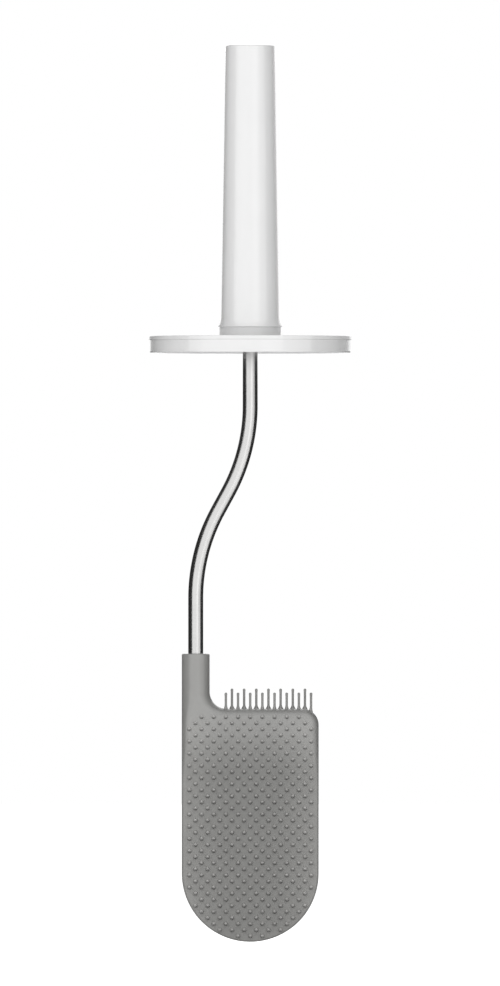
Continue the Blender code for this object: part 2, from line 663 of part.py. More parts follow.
def build_tube():
    """Polished steel tube with its S-bend, open at both ends."""
    bm = bmesh.new()
    loops = {}
    for radius in (TUBE_RADIUS, TUBE_BORE):
        loops[radius] = []
        for centre, turn in tube_path():
            across = Vector((math.cos(turn), 0, -math.sin(turn)))
            along = Vector((0, 1, 0))
            angles = [math.tau * side / TUBE_SIDES for side in range(TUBE_SIDES)]
            loop = [centre + (across * math.cos(a) + along * math.sin(a)) * radius for a in angles]
            loops[radius].append(loop)
    strips = []
    for wall in loops.values():
        strips += list(zip(wall, wall[1:]))
    strips.append((loops[TUBE_RADIUS][0], loops[TUBE_BORE][0]))
    strips.append((loops[TUBE_RADIUS][-1], loops[TUBE_BORE][-1]))
    for low, high in strips:
        for side in range(TUBE_SIDES):
            after = (side + 1) % TUBE_SIDES
            add_face(bm, (low[side], low[after], high[after], high[side]))
    place("steel_tube", bm, POLISHED_STEEL)


def build_tube_plug():
    """Plug in the tube's lower end, with the groove for its rubber ring."""
    shank = TUBE_BORE - GAP
    nose = TUBE_RADIUS
    top = TUBE_END + PLUG_LENGTH
    profile = [(0, top), (shank, top), (shank, PLUG_FACE), (nose, PLUG_FACE),
               (nose, PLUG_GROOVE_TOP), (PLUG_GROOVE_RADIUS, PLUG_GROOVE_TOP),
               (PLUG_GROOVE_RADIUS, PLUG_GROOVE_LOW), (nose, PLUG_GROOVE_LOW),
               (nose, PLUG_TIP + PLUG_CHAMFER), (nose - PLUG_CHAMFER, PLUG_TIP), (0, PLUG_TIP)]
    place("tube_plug", turned(profile, TUBE_SIDES, NECK_X), WHITE_MATTE)


def build_ring(name, radius, wire, height, centre_x):
    """A rubber ring of round section."""
    section = arc(radius, height, wire, 0, 360, RING_WIRE_SIDES)[:-1]
    place(name, turned(section, RING_SIDES, centre_x), BLACK_RUBBER)


def build_lid():
    """Round lid: a thin lip over a deeper skirt, hollow below, with a boss round the nut."""
    skirt = LID_LIP_RADIUS - LID_LIP_STEP
    inside = skirt - LID_WALL
    lip_foot = LID_TOP - LID_LIP_HEIGHT
    boss_foot = LID_PLATE_UNDERSIDE - LID_BOSS_HEIGHT
    profile = [(SPIGOT_BORE, LID_PLATE_UNDERSIDE), (SPIGOT_BORE, LID_TOP)]
    profile += arc(LID_LIP_RADIUS - LID_LIP_ROUND, LID_TOP - LID_LIP_ROUND, LID_LIP_ROUND, 90, 0, ROUND_STEPS)
    profile += [(LID_LIP_RADIUS, lip_foot), (skirt, lip_foot)]
    profile += arc(skirt - LID_RIM_ROUND, LID_RIM_HEIGHT + LID_RIM_ROUND, LID_RIM_ROUND, 0, -90, ROUND_STEPS)
    profile += [(inside, LID_RIM_HEIGHT), (inside, LID_PLATE_UNDERSIDE),
                (LID_BOSS_RADIUS, LID_PLATE_UNDERSIDE), (LID_BOSS_RADIUS, boss_foot),
                (LID_BOSS_BORE, boss_foot), (LID_BOSS_BORE, LID_PLATE_UNDERSIDE)]
    place("lid", turned(profile, LID_SIDES), WHITE_GLOSS)


def build_collar():
    """Ring between the lid and the handle's foot."""
    low = COLLAR_FOOT + COLLAR_ROUND
    high = COLLAR_TOP - COLLAR_ROUND
    edge = COLLAR_RADIUS - COLLAR_ROUND
    profile = [(SPIGOT_BORE, COLLAR_TOP), (SPIGOT_BORE, COLLAR_FOOT)]
    profile += arc(edge, low, COLLAR_ROUND, -90, 0, ROUND_STEPS)
    profile += arc(edge, high, COLLAR_ROUND, 0, 90, ROUND_STEPS)
    place("collar", turned(profile, HANDLE_SIDES), PALE_GREY)


def handle_radius(height):
    """Outer radius of the handle's straight taper at a height."""
    share = (height - HANDLE_FOOT - HANDLE_FLARE) / (HANDLE_LENGTH - HANDLE_FLARE)
    return HANDLE_BASE_RADIUS + (HANDLE_TOP_RADIUS - HANDLE_BASE_RADIUS) * share


def build_handle_shell():
    """Hollow tapered grip, flared at its foot, with a stepped mouth for the cap."""
    foot = HANDLE_FOOT_RADIUS - HANDLE_FOOT_ROUND
    outer = arc(foot, HANDLE_FOOT + HANDLE_FOOT_ROUND, HANDLE_FOOT_ROUND, -90, 0, ROUND_STEPS)
    start = HANDLE_FOOT + HANDLE_FOOT_ROUND + HANDLE_FOOT_BAND
    for step in range(HANDLE_FLARE_STEPS + 1):
        share = step / HANDLE_FLARE_STEPS
        height = start + (HANDLE_FOOT + HANDLE_FLARE - start) * share
        flare = (HANDLE_FOOT_RADIUS - HANDLE_BASE_RADIUS) * (1 - share) ** 2
        outer.append((HANDLE_BASE_RADIUS + flare, height))
    edge = HANDLE_TOP_RADIUS - HANDLE_TOP_ROUND
    outer += arc(edge, MOUTH_TOP - HANDLE_TOP_ROUND, HANDLE_TOP_ROUND, 0, 90, ROUND_STEPS)
    bore = handle_radius(MOUTH_SEAT) - HANDLE_WALL
    inner = [(MOUTH_RADIUS, MOUTH_TOP), (MOUTH_RADIUS, MOUTH_SEAT), (bore, MOUTH_SEAT),
             (handle_radius(HANDLE_FOOT) - HANDLE_WALL, HANDLE_FOOT)]
    place("handle_shell", turned(outer + inner, HANDLE_SIDES), WHITE_GLOSS)


def build_handle_cap():
    """Cap in the handle's mouth, with a low crown and a skirt that grips the bore."""
    disc = MOUTH_RADIUS - GAP
    seat = MOUTH_SEAT + GAP
    skirt = handle_radius(MOUTH_SEAT) - HANDLE_WALL - GAP
    foot = seat - CAP_SKIRT_HEIGHT
    inside = skirt - CAP_SKIRT_WALL
    shares = [step / CAP_CROWN_STEPS for step in range(CAP_CROWN_STEPS + 1)]
    profile = [(disc * share, HANDLE_TOP - CAP_CROWN * share * share) for share in shares]
    profile += [(disc, seat), (skirt, seat), (skirt, foot), (inside, foot), (inside, seat), (0, seat)]
    place("handle_cap", turned(profile, HANDLE_SIDES), WHITE_GLOSS)


def build_handle_core():
    """Moulded insert that holds the tube in the handle and clamps the lid with its spigot."""
    flange_top = HANDLE_FOOT + CORE_FLANGE
    flange = handle_radius(flange_top) - HANDLE_WALL - GAP
    seal_seat = SPIGOT_FOOT + SEAL_SEAT_DEPTH
    screw_hole = SCREW_RADIUS + GAP
    profile = [(SEAL_SEAT_RADIUS, SPIGOT_FOOT), (SPIGOT_RADIUS, SPIGOT_FOOT), (SPIGOT_RADIUS, HANDLE_FOOT),
               (flange, HANDLE_FOOT), (flange, flange_top), (CORE_TUBE_RADIUS, flange_top),
               (CORE_TUBE_RADIUS, CORE_TOP), (CORE_WELL_RADIUS, CORE_TOP), (CORE_WELL_RADIUS, WEB_TOP),
               (screw_hole, WEB_TOP), (screw_hole, WEB_SEAT), (SOCKET_RADIUS, WEB_SEAT),
               (SOCKET_RADIUS, seal_seat), (SEAL_SEAT_RADIUS, seal_seat)]
    core = place("handle_core", turned(profile, CORE_SIDES), WHITE_MATTE)
    root = CORE_TUBE_RADIUS - RIB_ROOT_OVERLAP
    low = flange_top - RIB_ROOT_OVERLAP
    reach_low = handle_radius(low) - HANDLE_WALL - GAP
    reach_high = handle_radius(WEB_TOP) - HANDLE_WALL - GAP
    outline = [(root, low), (reach_low, low), (reach_high, WEB_TOP), (root, WEB_TOP)]
    for number in range(RIB_COUNT):
        rib = prism(outline, -RIB_HALF_THICKNESS, RIB_HALF_THICKNESS)
        turn = Matrix.Rotation(math.tau * (number + 1 / 2) / RIB_COUNT, 4, "Z")
        bmesh.ops.transform(rib, matrix=turn, verts=rib.verts)
        combine(core, "UNION", place(f"core_rib_{number + 1}", rib))


def build_lid_nut():
    """Hexagonal ring nut under the lid."""
    top = LID_PLATE_UNDERSIDE - GAP
    foot = top - NUT_HEIGHT
    hexagon = turned([(0, foot), (NUT_RADIUS, foot), (NUT_RADIUS, top), (0, top)], HEX_SIDES)
    nut = place("lid_nut", hexagon, WHITE_MATTE)
    low = foot - CUT_OVERRUN
    high = top + CUT_OVERRUN
    bore = turned([(0, low), (SPIGOT_BORE, low), (SPIGOT_BORE, high), (0, high)], CORE_SIDES)
    combine(nut, "DIFFERENCE", place("nut_bore", bore))


def build_screw():
    """Screw with a hexagonal recess, its washer, and the threaded insert that it holds."""
    top = HEAD_SEAT + SCREW_HEAD_HEIGHT
    point = HEAD_SEAT - SCREW_LENGTH
    profile = [(0, point), (SCREW_RADIUS, point), (SCREW_RADIUS, HEAD_SEAT), (SCREW_HEAD_RADIUS, HEAD_SEAT),
               (SCREW_HEAD_RADIUS, top), (0, top)]
    screw = place("handle_screw", turned(profile, SCREW_SIDES), POLISHED_STEEL)
    floor = top - SCREW_RECESS_DEPTH
    high = top + CUT_OVERRUN
    recess = [(0, floor), (SCREW_RECESS_RADIUS, floor), (SCREW_RECESS_RADIUS, high), (0, high)]
    combine(screw, "DIFFERENCE", place("screw_recess", turned(recess, HEX_SIDES)))
    bore = SCREW_RADIUS + GAP
    washer_top = WASHER_SEAT + WASHER_HEIGHT
    washer = [(bore, WASHER_SEAT), (WASHER_RADIUS, WASHER_SEAT), (WASHER_RADIUS, washer_top),
              (bore, washer_top)]
    place("screw_washer", turned(washer, SCREW_SIDES), POLISHED_STEEL)
    shank = TUBE_BORE - GAP
    foot = TUBE_TOP - INSERT_LENGTH
    insert = [(bore, foot), (shank, foot), (shank, TUBE_TOP), (bore, TUBE_TOP)]
    place("tube_insert", turned(insert, TUBE_SIDES), BRASS)


def build_brush():
    """Build the handle's side, then the head on the empty that its pull-off motion follows."""
    build_handle_shell()
    build_handle_cap()
    build_handle_core()
    build_screw()
    build_collar()
    build_lid()
    build_lid_nut()
    build_ring("tube_seal", SEAL_RADIUS, SEAL_WIRE_RADIUS, SEAL_HEIGHT, 0)
    build_tube()
    build_tube_plug()
    groove_middle = (PLUG_GROOVE_TOP + PLUG_GROOVE_LOW) / 2
    build_ring("plug_ring", RING_RADIUS, RING_WIRE_RADIUS, groove_middle, NECK_X)
    slide = bpy.data.objects.new("head_slide", None)
    slide.location = (NECK_X, 0, NECK_TOP)
    bpy.context.scene.collection.objects.link(slide)
    build_head_core(slide)
    build_head_skin(slide)
    build_nubs(slide)
    build_comb(slide)


clear_scene()
build_brush()
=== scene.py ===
"""Looks of the toilet brush: smooth pieces, finishes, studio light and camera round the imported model.

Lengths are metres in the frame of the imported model. The brush stands along Z with its tip at height zero, and
the camera looks along +Y at the nubbed face, with the neck on the left and the comb on the right.
"""
import logging
import math
from dataclasses import dataclass, field, replace
from enum import Enum

import bmesh
import bpy
import numpy as np
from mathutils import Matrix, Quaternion, Vector


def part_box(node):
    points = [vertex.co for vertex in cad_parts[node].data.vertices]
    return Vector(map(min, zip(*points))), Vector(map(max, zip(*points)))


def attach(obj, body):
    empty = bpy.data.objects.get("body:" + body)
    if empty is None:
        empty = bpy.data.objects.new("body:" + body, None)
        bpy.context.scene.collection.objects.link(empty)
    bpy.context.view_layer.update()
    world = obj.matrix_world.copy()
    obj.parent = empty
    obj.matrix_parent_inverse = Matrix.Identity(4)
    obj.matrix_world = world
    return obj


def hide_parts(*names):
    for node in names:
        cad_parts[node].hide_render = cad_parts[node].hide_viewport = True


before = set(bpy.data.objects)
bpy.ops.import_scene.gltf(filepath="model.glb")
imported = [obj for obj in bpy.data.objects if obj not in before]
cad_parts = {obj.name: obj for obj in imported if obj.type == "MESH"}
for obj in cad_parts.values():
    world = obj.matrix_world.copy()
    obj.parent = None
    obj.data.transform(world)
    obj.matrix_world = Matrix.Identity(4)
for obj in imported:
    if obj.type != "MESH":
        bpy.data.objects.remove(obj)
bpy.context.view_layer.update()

log = logging.getLogger("toilet_brush")

Socket = bpy.types.NodeSocket
Triple = tuple[float, float, float]

WELD_DISTANCE = 2e-7
SAME_PLACE = 1e-9
LEAST_SWEEP = 1e-6
SMOOTH_ANGLE = 32
GUARD_SHARE = 0.3
ROUND_CHORDS = 6
WIRE_CHORDS = 20
RING_SIDES = 72
NOISE_RANGE = (0.3, 0.7)
SQUARE = ((-1, -1), (1, -1), (1, 1), (-1, 1))
FULL_WHITE = (1.0, 1.0, 1.0, 1.0)
BLACK = (0.0, 0.0, 0.0, 1.0)


class Body(Enum):
    """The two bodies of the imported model."""

    BRUSH = "brush"
    HEAD = "head"


class Face(Enum):
    """The sides of the blade, by the sign of their Y."""

    FRONT = -1
    BACK = 1


class Slot(Enum):
    """The material slots of the record."""

    WHITE_GLOSS = "white_gloss"
    WHITE_MATTE = "white_matte"
    PALE_GREY = "pale_grey"
    POLISHED_STEEL = "polished_steel"
    BRASS = "brass"
    GREY_SILICONE = "grey_silicone"
    CORE_GREY = "core_grey"
    BLACK_RUBBER = "black_rubber"


class Coordinates(Enum):
    """What a pattern follows: the object's own space in metres, or the piece's own UV map."""

    OBJECT = "Object"
    UV_MAP = "UV"


class Recipe:
    """The node tree of a material or a world, with short calls that add nodes in front of its shader."""

    def __init__(self, owner: bpy.types.Material | bpy.types.World, shader: str = "Principled BSDF") -> None:
        """Open the tree.

        Args:
            owner: the new material or world.
            shader: name of the shader node that the tree starts with.
        """
        owner.use_nodes = True
        self.tree = owner.node_tree
        self.shader = self.tree.nodes[shader]

    def fill(self, node: bpy.types.Node, values: dict[str, object]) -> None:
        """Fill a node's inputs.

        Args:
            node: the node.
            values: what each input gets, by its label with underscores for spaces. A socket is linked, and
                anything else is set.
        """
        for label, value in values.items():
            place = node.inputs[label.replace("_", " ")]
            if isinstance(value, Socket):
                self.tree.links.new(value, place)
            else:
                place.default_value = value

    def set(self, **values: object) -> None:
        """Fill the shader's own inputs."""
        self.fill(self.shader, values)

    def node(self, kind: str, *sources: Socket, operation: str | None = None,
             **values: object) -> bpy.types.Node:
        """Add a node.

        Args:
            kind: the node's type name.
            sources: what goes into its first inputs, in their order.
            operation: what a node for sums works out.
            values: its other inputs by label.

        Returns:
            The new node.
        """
        made = self.tree.nodes.new(kind)
        if operation is not None:
            made.operation = operation
        for source, place in zip(sources, made.inputs):
            self.tree.links.new(source, place)
        self.fill(made, values)
        return made

    def place(self, scale: Triple, follows: Coordinates = Coordinates.OBJECT) -> Socket:
        """Coordinates of the surface, times a scale for each axis."""
        source = self.node("ShaderNodeTexCoord").outputs[follows.value]
        return self.node("ShaderNodeMapping", source, Scale=scale).outputs[0]

    def axis(self, letter: str, follows: Coordinates = Coordinates.OBJECT) -> Socket:
        """One coordinate of the surface, by its letter."""
        source = self.node("ShaderNodeTexCoord").outputs[follows.value]
        return self.node("ShaderNodeSeparateXYZ", source).outputs[letter]

    def noise(self, size: float | Triple, detail: float = 2.0,
              follows: Coordinates = Coordinates.OBJECT) -> Socket:
        """Smooth noise from 0 to 1.

        Args:
            size: the size of its grains, one for all axes or one for each.
            detail: how many finer layers it has.
            follows: the coordinates that it lies in.

        Returns:
            The noise's socket.
        """
        place = self.place((1 / np.broadcast_to(size, 3)).tolist(), follows)
        return self.node("ShaderNodeTexNoise", place, Scale=1.0, Detail=detail).outputs["Fac"]

    def mapped(self, source: Socket, low: float, high: float, start: float = 0.0, end: float = 1.0) -> Socket:
        """Turn what goes from start to end into low to high, and hold low and high beyond them."""
        reach = {"From_Min": start, "From_Max": end, "To_Min": low, "To_Max": high}
        return self.node("ShaderNodeMapRange", source, **reach).outputs[0]

    def math(self, operation: str, *sources: Socket) -> Socket:
        """What a sum of one or two sockets gives, by the Math node's own name for the sum."""
        return self.node("ShaderNodeMath", *sources, operation=operation).outputs[0]

    def along(self, letter: str, start: float, end: float, low: float = 0.0) -> Socket:
        """A factor that goes from low to 1 between two places on an axis of the object."""
        return self.mapped(self.axis(letter), low, 1.0, start, end)

    def up_the_piece(self, low: float, high: float) -> Socket:
        """A factor of painted shading that goes from low to high with the second coordinate of the piece's own
        UV map.
        """
        return self.mapped(self.axis("Y", Coordinates.UV_MAP), low, high)

    def painted_side_light(self, start: float, end: float, low: float, high: float, gain: float) -> Socket:
        """A factor of painted light that grows to both sides of the object's middle plane.

        Args:
            start, end: distances from the plane where it starts to grow and where it is full.
            low, high: heights between which it fades to nothing.
            gain: the full factor of the painted light; elsewhere it is 1.

        Returns:
            The factor's socket.
        """
        share = self.mapped(self.math("ABSOLUTE", self.axis("X")), 0.0, 1.0, start, end)
        return self.mapped(self.math("MULTIPLY", share, self.along("Z", high, low)), 1.0, gain)

    def seen_directly(self) -> Socket:
        """1 for rays from the camera, a mirror or glass, and 0 for the light that falls on things.

        Returns:
            The factor's socket.
        """
        rays = self.node("ShaderNodeLightPath").outputs
        either = self.math("MAXIMUM", rays["Is Camera Ray"], rays["Is Glossy Ray"])
        return self.math("MAXIMUM", either, rays["Is Transmission Ray"])

    def tint(self, source: Socket, colour: Triple, change: float, gain: Socket | None = None) -> None:
        """Colour the surface.

        Args:
            source: noise that makes it darker or lighter.
            colour: the colour in the middle.
            change: how much of it the noise takes or adds.
            gain: a factor of painted light and shade that differs over the surface, if there is one.
        """
        ramp = self.node("ShaderNodeValToRGB", source)
        for stop, place, factor in zip(ramp.color_ramp.elements, NOISE_RANGE, (1 - change, 1 + change)):
            stop.position = place
            stop.color = (*(channel * factor for channel in colour), 1.0)
        painted = ramp.outputs[0]
        if gain is not None:
            painted = self.node("ShaderNodeVectorMath", painted, operation="SCALE", Scale=gain).outputs[0]
        self.set(Base_Color=painted)

    def rough(self, source: Socket, low: float, high: float) -> None:
        """Let the roughness follow noise from low to high."""
        self.set(Roughness=self.mapped(source, low, high, *NOISE_RANGE))

    def bump(self, source: Socket, depth: float, strength: float) -> None:
        """Raise and sink the surface by a pattern of that depth."""
        raised = self.node("ShaderNodeBump", Height=source, Distance=depth, Strength=strength)
        self.set(Normal=raised.outputs[0])


@dataclass(frozen=True)
class Finish:
    """What a piece is dressed in, with the record's slot for it."""

    name: str
    slot: Slot
    colour: Triple

    def material(self) -> bpy.types.Material:
        """Build the material once, and give the same one after that.

        Returns:
            The finish's material.
        """
        if self.name not in bpy.data.materials:
            self.paint(Recipe(bpy.data.materials.new(self.name)))
        return bpy.data.materials[self.name]

    def paint(self, recipe: Recipe) -> None:
        """Add the finish's patterns to a new material; each kind of finish has its own."""
        raise NotImplementedError


@dataclass(frozen=True)
class GlossPlastic(Finish):
    """Injection-moulded plastic with a polished skin: faint sink waves and a fine orange peel."""

    roughness: float = 0.11
    roughness_change: float = 0.025
    refraction: float = 1.5
    coat: float = 1.0
    coat_roughness: float = 0.06
    sheen: float = 0.0
    wave_size: float = 0.02
    wave_change: float = 0.006
    peel_size: float = 0.0016
    peel_depth: float = 0.00002
    peel_strength: float = 0.05

    def paint(self, recipe: Recipe) -> None:
        """Coat the plastic, let the waves change its tone and gloss, and raise the peel.

        Args:
            recipe: the new material's node tree.
        """
        recipe.set(Coat_Weight=self.coat, Coat_Roughness=self.coat_roughness, Sheen_Weight=self.sheen)
        recipe.set(IOR=self.refraction)
        waves = recipe.noise(self.wave_size)
        recipe.tint(waves, self.colour, self.wave_change)
        recipe.rough(waves, self.roughness - self.roughness_change, self.roughness + self.roughness_change)
        recipe.bump(recipe.noise(self.peel_size), self.peel_depth, self.peel_strength)


@dataclass(frozen=True)
class GrainedPlastic(Finish):
    """Moulded plastic with a spark-eroded grain, for the pieces inside."""

    smoothest: float = 0.42
    roughest: float = 0.56
    cloud_size: float = 1 / 150
    cloud_change: float = 0.03
    grain_size: float = 0.0004
    grain_layers: float = 4.0
    grain_depth: float = 0.00004
    grain_strength: float = 0.25

    def paint(self, recipe: Recipe) -> None:
        """Cloud the tone, and let the grain change the gloss and the height.

        Args:
            recipe: the new material's node tree.
        """
        grain = recipe.noise(self.grain_size, self.grain_layers)
        recipe.tint(recipe.noise(self.cloud_size), self.colour, self.cloud_change)
        recipe.rough(grain, self.smoothest, self.roughest)
        recipe.bump(grain, self.grain_depth, self.grain_strength)


@dataclass(frozen=True)
class DrawnSteel(Finish):
    """Polished metal with fine lines that run along the piece, or round it where it was turned."""

    roughness: float = 0.16
    roughness_change: float = 0.035
    cloud_size: float = 1 / 90
    cloud_change: float = 0.02
    line_width: float = 0.00022
    line_length: float = 0.03
    line_layers: float = 3.0
    line_depth: float = 0.00001
    line_strength: float = 0.08
    drawn: bool = True

    def paint(self, recipe: Recipe) -> None:
        """Lay the lines along the UV map's second coordinate, or round the object's own Z axis.

        Args:
            recipe: the new material's node tree.
        """
        recipe.set(Metallic=1.0)
        if self.drawn:
            size = (self.line_width, self.line_length, 1.0)
            lines = recipe.noise(size, self.line_layers, Coordinates.UV_MAP)
        else:
            size = (self.line_length, self.line_length, self.line_width)
            lines = recipe.noise(size, self.line_layers)
        recipe.tint(recipe.noise(self.cloud_size), self.colour, self.cloud_change)
        recipe.rough(lines, self.roughness - self.roughness_change, self.roughness + self.roughness_change)
        recipe.bump(lines, self.line_depth, self.line_strength)


@dataclass(frozen=True)
class SoftSkin(Finish):
    """Silicone or rubber: a dull skin with a dry micro grain and soft clouds of tone.

    Its sides are lighter below a height, a painted side light. Where it has a gloss, a coat grows from one
    height to another, and a painted shade makes the skin darker below. A gain of painted shade and a gain of
    painted highlight change its tone with the piece's own UV map.
    """

    roughness: float = 0.56
    smoother: float = 0.05
    rougher: float = 0.06
    refraction: float = 1.45
    gloss_start: float | None = None
    gloss_end: float = 0.0
    gloss_roughness: float = 0.25
    gloss_refraction: float = 1.6
    # Painted shade: the colour's gain below the gloss.
    painted_low_shade_gain: float = 1.0
    cloud_size: float = 0.009
    cloud_layers: float = 3.0
    cloud_change: float = 0.03
    grain_size: float = 0.00022
    grain_depth: float = 0.00003
    grain_strength: float = 0.18
    # Painted shade where the UV map's second coordinate is 0, painted highlight where it is 1.
    painted_shade_gain: float = 1.0
    painted_highlight_gain: float = 1.0
    # Painted light: the blade's sides are lighter by this gain.
    painted_side_light_gain: float = 1.2
    side_start: float = 0.013
    side_end: float = 0.030
    side_fade: tuple[float, float] = (0.100, 0.112)

    def paint(self, recipe: Recipe) -> None:
        """Multiply the gains of painted light and shade into the clouded tone, and let the grain change the
        gloss and the height.

        Args:
            recipe: the new material's node tree.
        """
        recipe.set(IOR=self.refraction, Coat_Roughness=self.gloss_roughness, Coat_IOR=self.gloss_refraction)
        # Painted light on the blade's sides, multiplied into the colour.
        gain = recipe.painted_side_light(self.side_start, self.side_end, *self.side_fade, self.painted_side_light_gain)
        if self.gloss_start is not None:
            recipe.set(Coat_Weight=recipe.along("Z", self.gloss_start, self.gloss_end))
            # Painted shade: the colour is darker below the gloss.
            painted_low_shade = recipe.along("Z", self.gloss_start, self.gloss_end, self.painted_low_shade_gain)
            gain = recipe.math("MULTIPLY", gain, painted_low_shade)
        if self.painted_highlight_gain != self.painted_shade_gain:
            gain = recipe.math("MULTIPLY", gain, recipe.up_the_piece(self.painted_shade_gain, self.painted_highlight_gain))
        recipe.tint(recipe.noise(self.cloud_size, self.cloud_layers), self.colour, self.cloud_change, gain)
        grain = recipe.noise(self.grain_size)
        recipe.rough(grain, self.roughness - self.smoother, self.roughness + self.rougher)
        recipe.bump(grain, self.grain_depth, self.grain_strength)


WHITE = GlossPlastic("white_gloss_plastic", Slot.WHITE_GLOSS, (0.83, 0.83, 0.83))
PALE_GREY = GlossPlastic("pale_grey_plastic", Slot.PALE_GREY, (0.68, 0.68, 0.68),
                         roughness=0.42, coat=0.0, sheen=1.0)
MATT_WHITE = GrainedPlastic("matt_white_plastic", Slot.WHITE_MATTE, (0.70, 0.70, 0.68))
CORE_GREY = GrainedPlastic("core_grey_plastic", Slot.CORE_GREY, (0.33, 0.33, 0.34))
TUBE_STEEL = DrawnSteel("drawn_tube_steel", Slot.POLISHED_STEEL, (0.53, 0.527, 0.522), roughness=0.24)
SCREW_STEEL = DrawnSteel("turned_screw_steel", Slot.POLISHED_STEEL, (0.6, 0.6, 0.6),
                         roughness=0.26, drawn=False)
BRASS = DrawnSteel("turned_brass", Slot.BRASS, (0.70, 0.50, 0.22), roughness=0.3, drawn=False)
# Painted shade on the skin's rolled rim and lower blade, painted light on the blade's sides.
SILICONE = SoftSkin("grey_silicone_skin", Slot.GREY_SILICONE, (0.286, 0.284, 0.274), roughness=0.45,
                    gloss_start=0.078, gloss_end=0.108, painted_low_shade_gain=0.86, painted_shade_gain=0.74)
PIN_SILICONE = replace(SILICONE, name="thin_silicone_pins", colour=(0.226, 0.224, 0.216), painted_shade_gain=1.0)
# Painted highlight on the nubs' tips and upper sides, painted shade on their roots and lower sides.
NUB_SILICONE = SoftSkin("nub_silicone_painted_shading", Slot.GREY_SILICONE, (0.262, 0.259, 0.252),
                        roughness=0.42, painted_shade_gain=0.66, painted_highlight_gain=2.1)
RUBBER = SoftSkin("black_rubber_skin", Slot.BLACK_RUBBER, (0.022, 0.022, 0.022),
                  roughness=0.62, painted_side_light_gain=1.0)


def eased(value: np.ndarray) -> np.ndarray:
    """Go from 0 to 1 with level ends: three squares less two cubes of the clipped value."""
    share = np.clip(value, 0.0, 1.0)
    return share * share * (3 - 2 * share)


def shares(chords: int) -> np.ndarray:
    """Even steps from 0 to 1, one for each chord."""
    return np.linspace(0.0, 1.0, chords + 1)


def turns(sides: int) -> np.ndarray:
    """Even steps once round a circle, one for each side."""
    return np.linspace(0.0, math.tau, sides + 1)


def arc(x: float, z: float, radius: float, start: float, end: float, chords: int) -> np.ndarray:
    """Points of an arc: the centre plus the radius times cosine and sine of the angle.

    Args:
        x, z: the centre.
        radius: the arc's radius.
        start, end: its first and last angle in degrees.
        chords: how many chords it is made of.

    Returns:
        Rows of (x, z), both ends included.
    """
    turn = np.radians(np.linspace(start, end, chords + 1))
    return np.stack([x + radius * np.cos(turn), z + radius * np.sin(turn)], axis=-1)


def rounded(corners: list[Triple]) -> np.ndarray:
    """Round the corners of a profile.

    Each arc's centre lies on the line that halves its corner, at the rounding over the sine of half the
    corner's angle. The arc runs between its two tangent points, and a guard point stands a little before and
    after it, so that the smooth shading of the arc doesn't spread over the flat sides.

    Args:
        corners: rows of (radius, height, rounding); the first and the last stay as they are.

    Returns:
        Rows of (radius, height).
    """
    rows = np.array(corners, float)
    place = rows[1:-1, None, :2]
    rounding = rows[1:-1, None, 2:]
    before = rows[:-2, None, :2] - place
    after = rows[2:, None, :2] - place
    before /= np.linalg.norm(before, axis=-1, keepdims=True)
    after /= np.linalg.norm(after, axis=-1, keepdims=True)
    cosine = np.clip((before * after).sum(-1, keepdims=True), -1.0, 1.0)
    half = np.arccos(cosine) / 2
    reach = rounding / np.tan(half)
    halving = before + after
    halving /= np.maximum(np.linalg.norm(halving, axis=-1, keepdims=True), SAME_PLACE)
    centre = place + halving * rounding / np.sin(half)
    sweep = np.maximum(math.pi - 2 * half, LEAST_SWEEP)
    share = shares(ROUND_CHORDS)[None, :, None]
    from_start = np.sin((1 - share) * sweep) * (place + before * reach - centre)
    to_end = np.sin(share * sweep) * (place + after * reach - centre)
    bow = centre + (from_start + to_end) / np.sin(sweep)
    guard = reach + rounding * GUARD_SHARE
    bends = np.concatenate([place + before * guard, bow, place + after * guard], axis=1)
    points = np.vstack([rows[:1, :2], bends.reshape(-1, 2), rows[-1:, :2]])
    moved = np.linalg.norm(np.diff(points, axis=0), axis=1) > SAME_PLACE
    return points[np.append(True, moved)]


def turned(profile: np.ndarray, sides: int, centre_x: float = 0.0,
           widest: np.ndarray | None = None) -> np.ndarray:
    """Turn a profile about an upright axis: its radius times cosine and sine of the turn, at its height.

    Args:
        profile: rows of (radius, height).
        sides: number of sides round the axis.
        centre_x: where the axis stands.
        widest: the largest radius at each turn, where the piece isn't round.

    Returns:
        A grid of points, one row for each point of the profile.
    """
    turn = turns(sides)
    radius = profile[:, :1] if widest is None else np.minimum(profile[:, :1], widest)
    height = np.repeat(profile[:, 1:], sides + 1, axis=1)
    return np.stack([centre_x + radius * np.cos(turn), radius * np.sin(turn), height], axis=-1)


def place_object(name: str, data: bpy.types.Mesh | bpy.types.Light | bpy.types.Camera) -> bpy.types.Object:
    """Make an object of a mesh, a light or a camera, and put it into the scene.

    Args:
        name: the object's name.
        data: what it shows.

    Returns:
        The new object, at the origin.
    """
    obj = bpy.data.objects.new(name, data)
    bpy.context.scene.collection.objects.link(obj)
    return obj


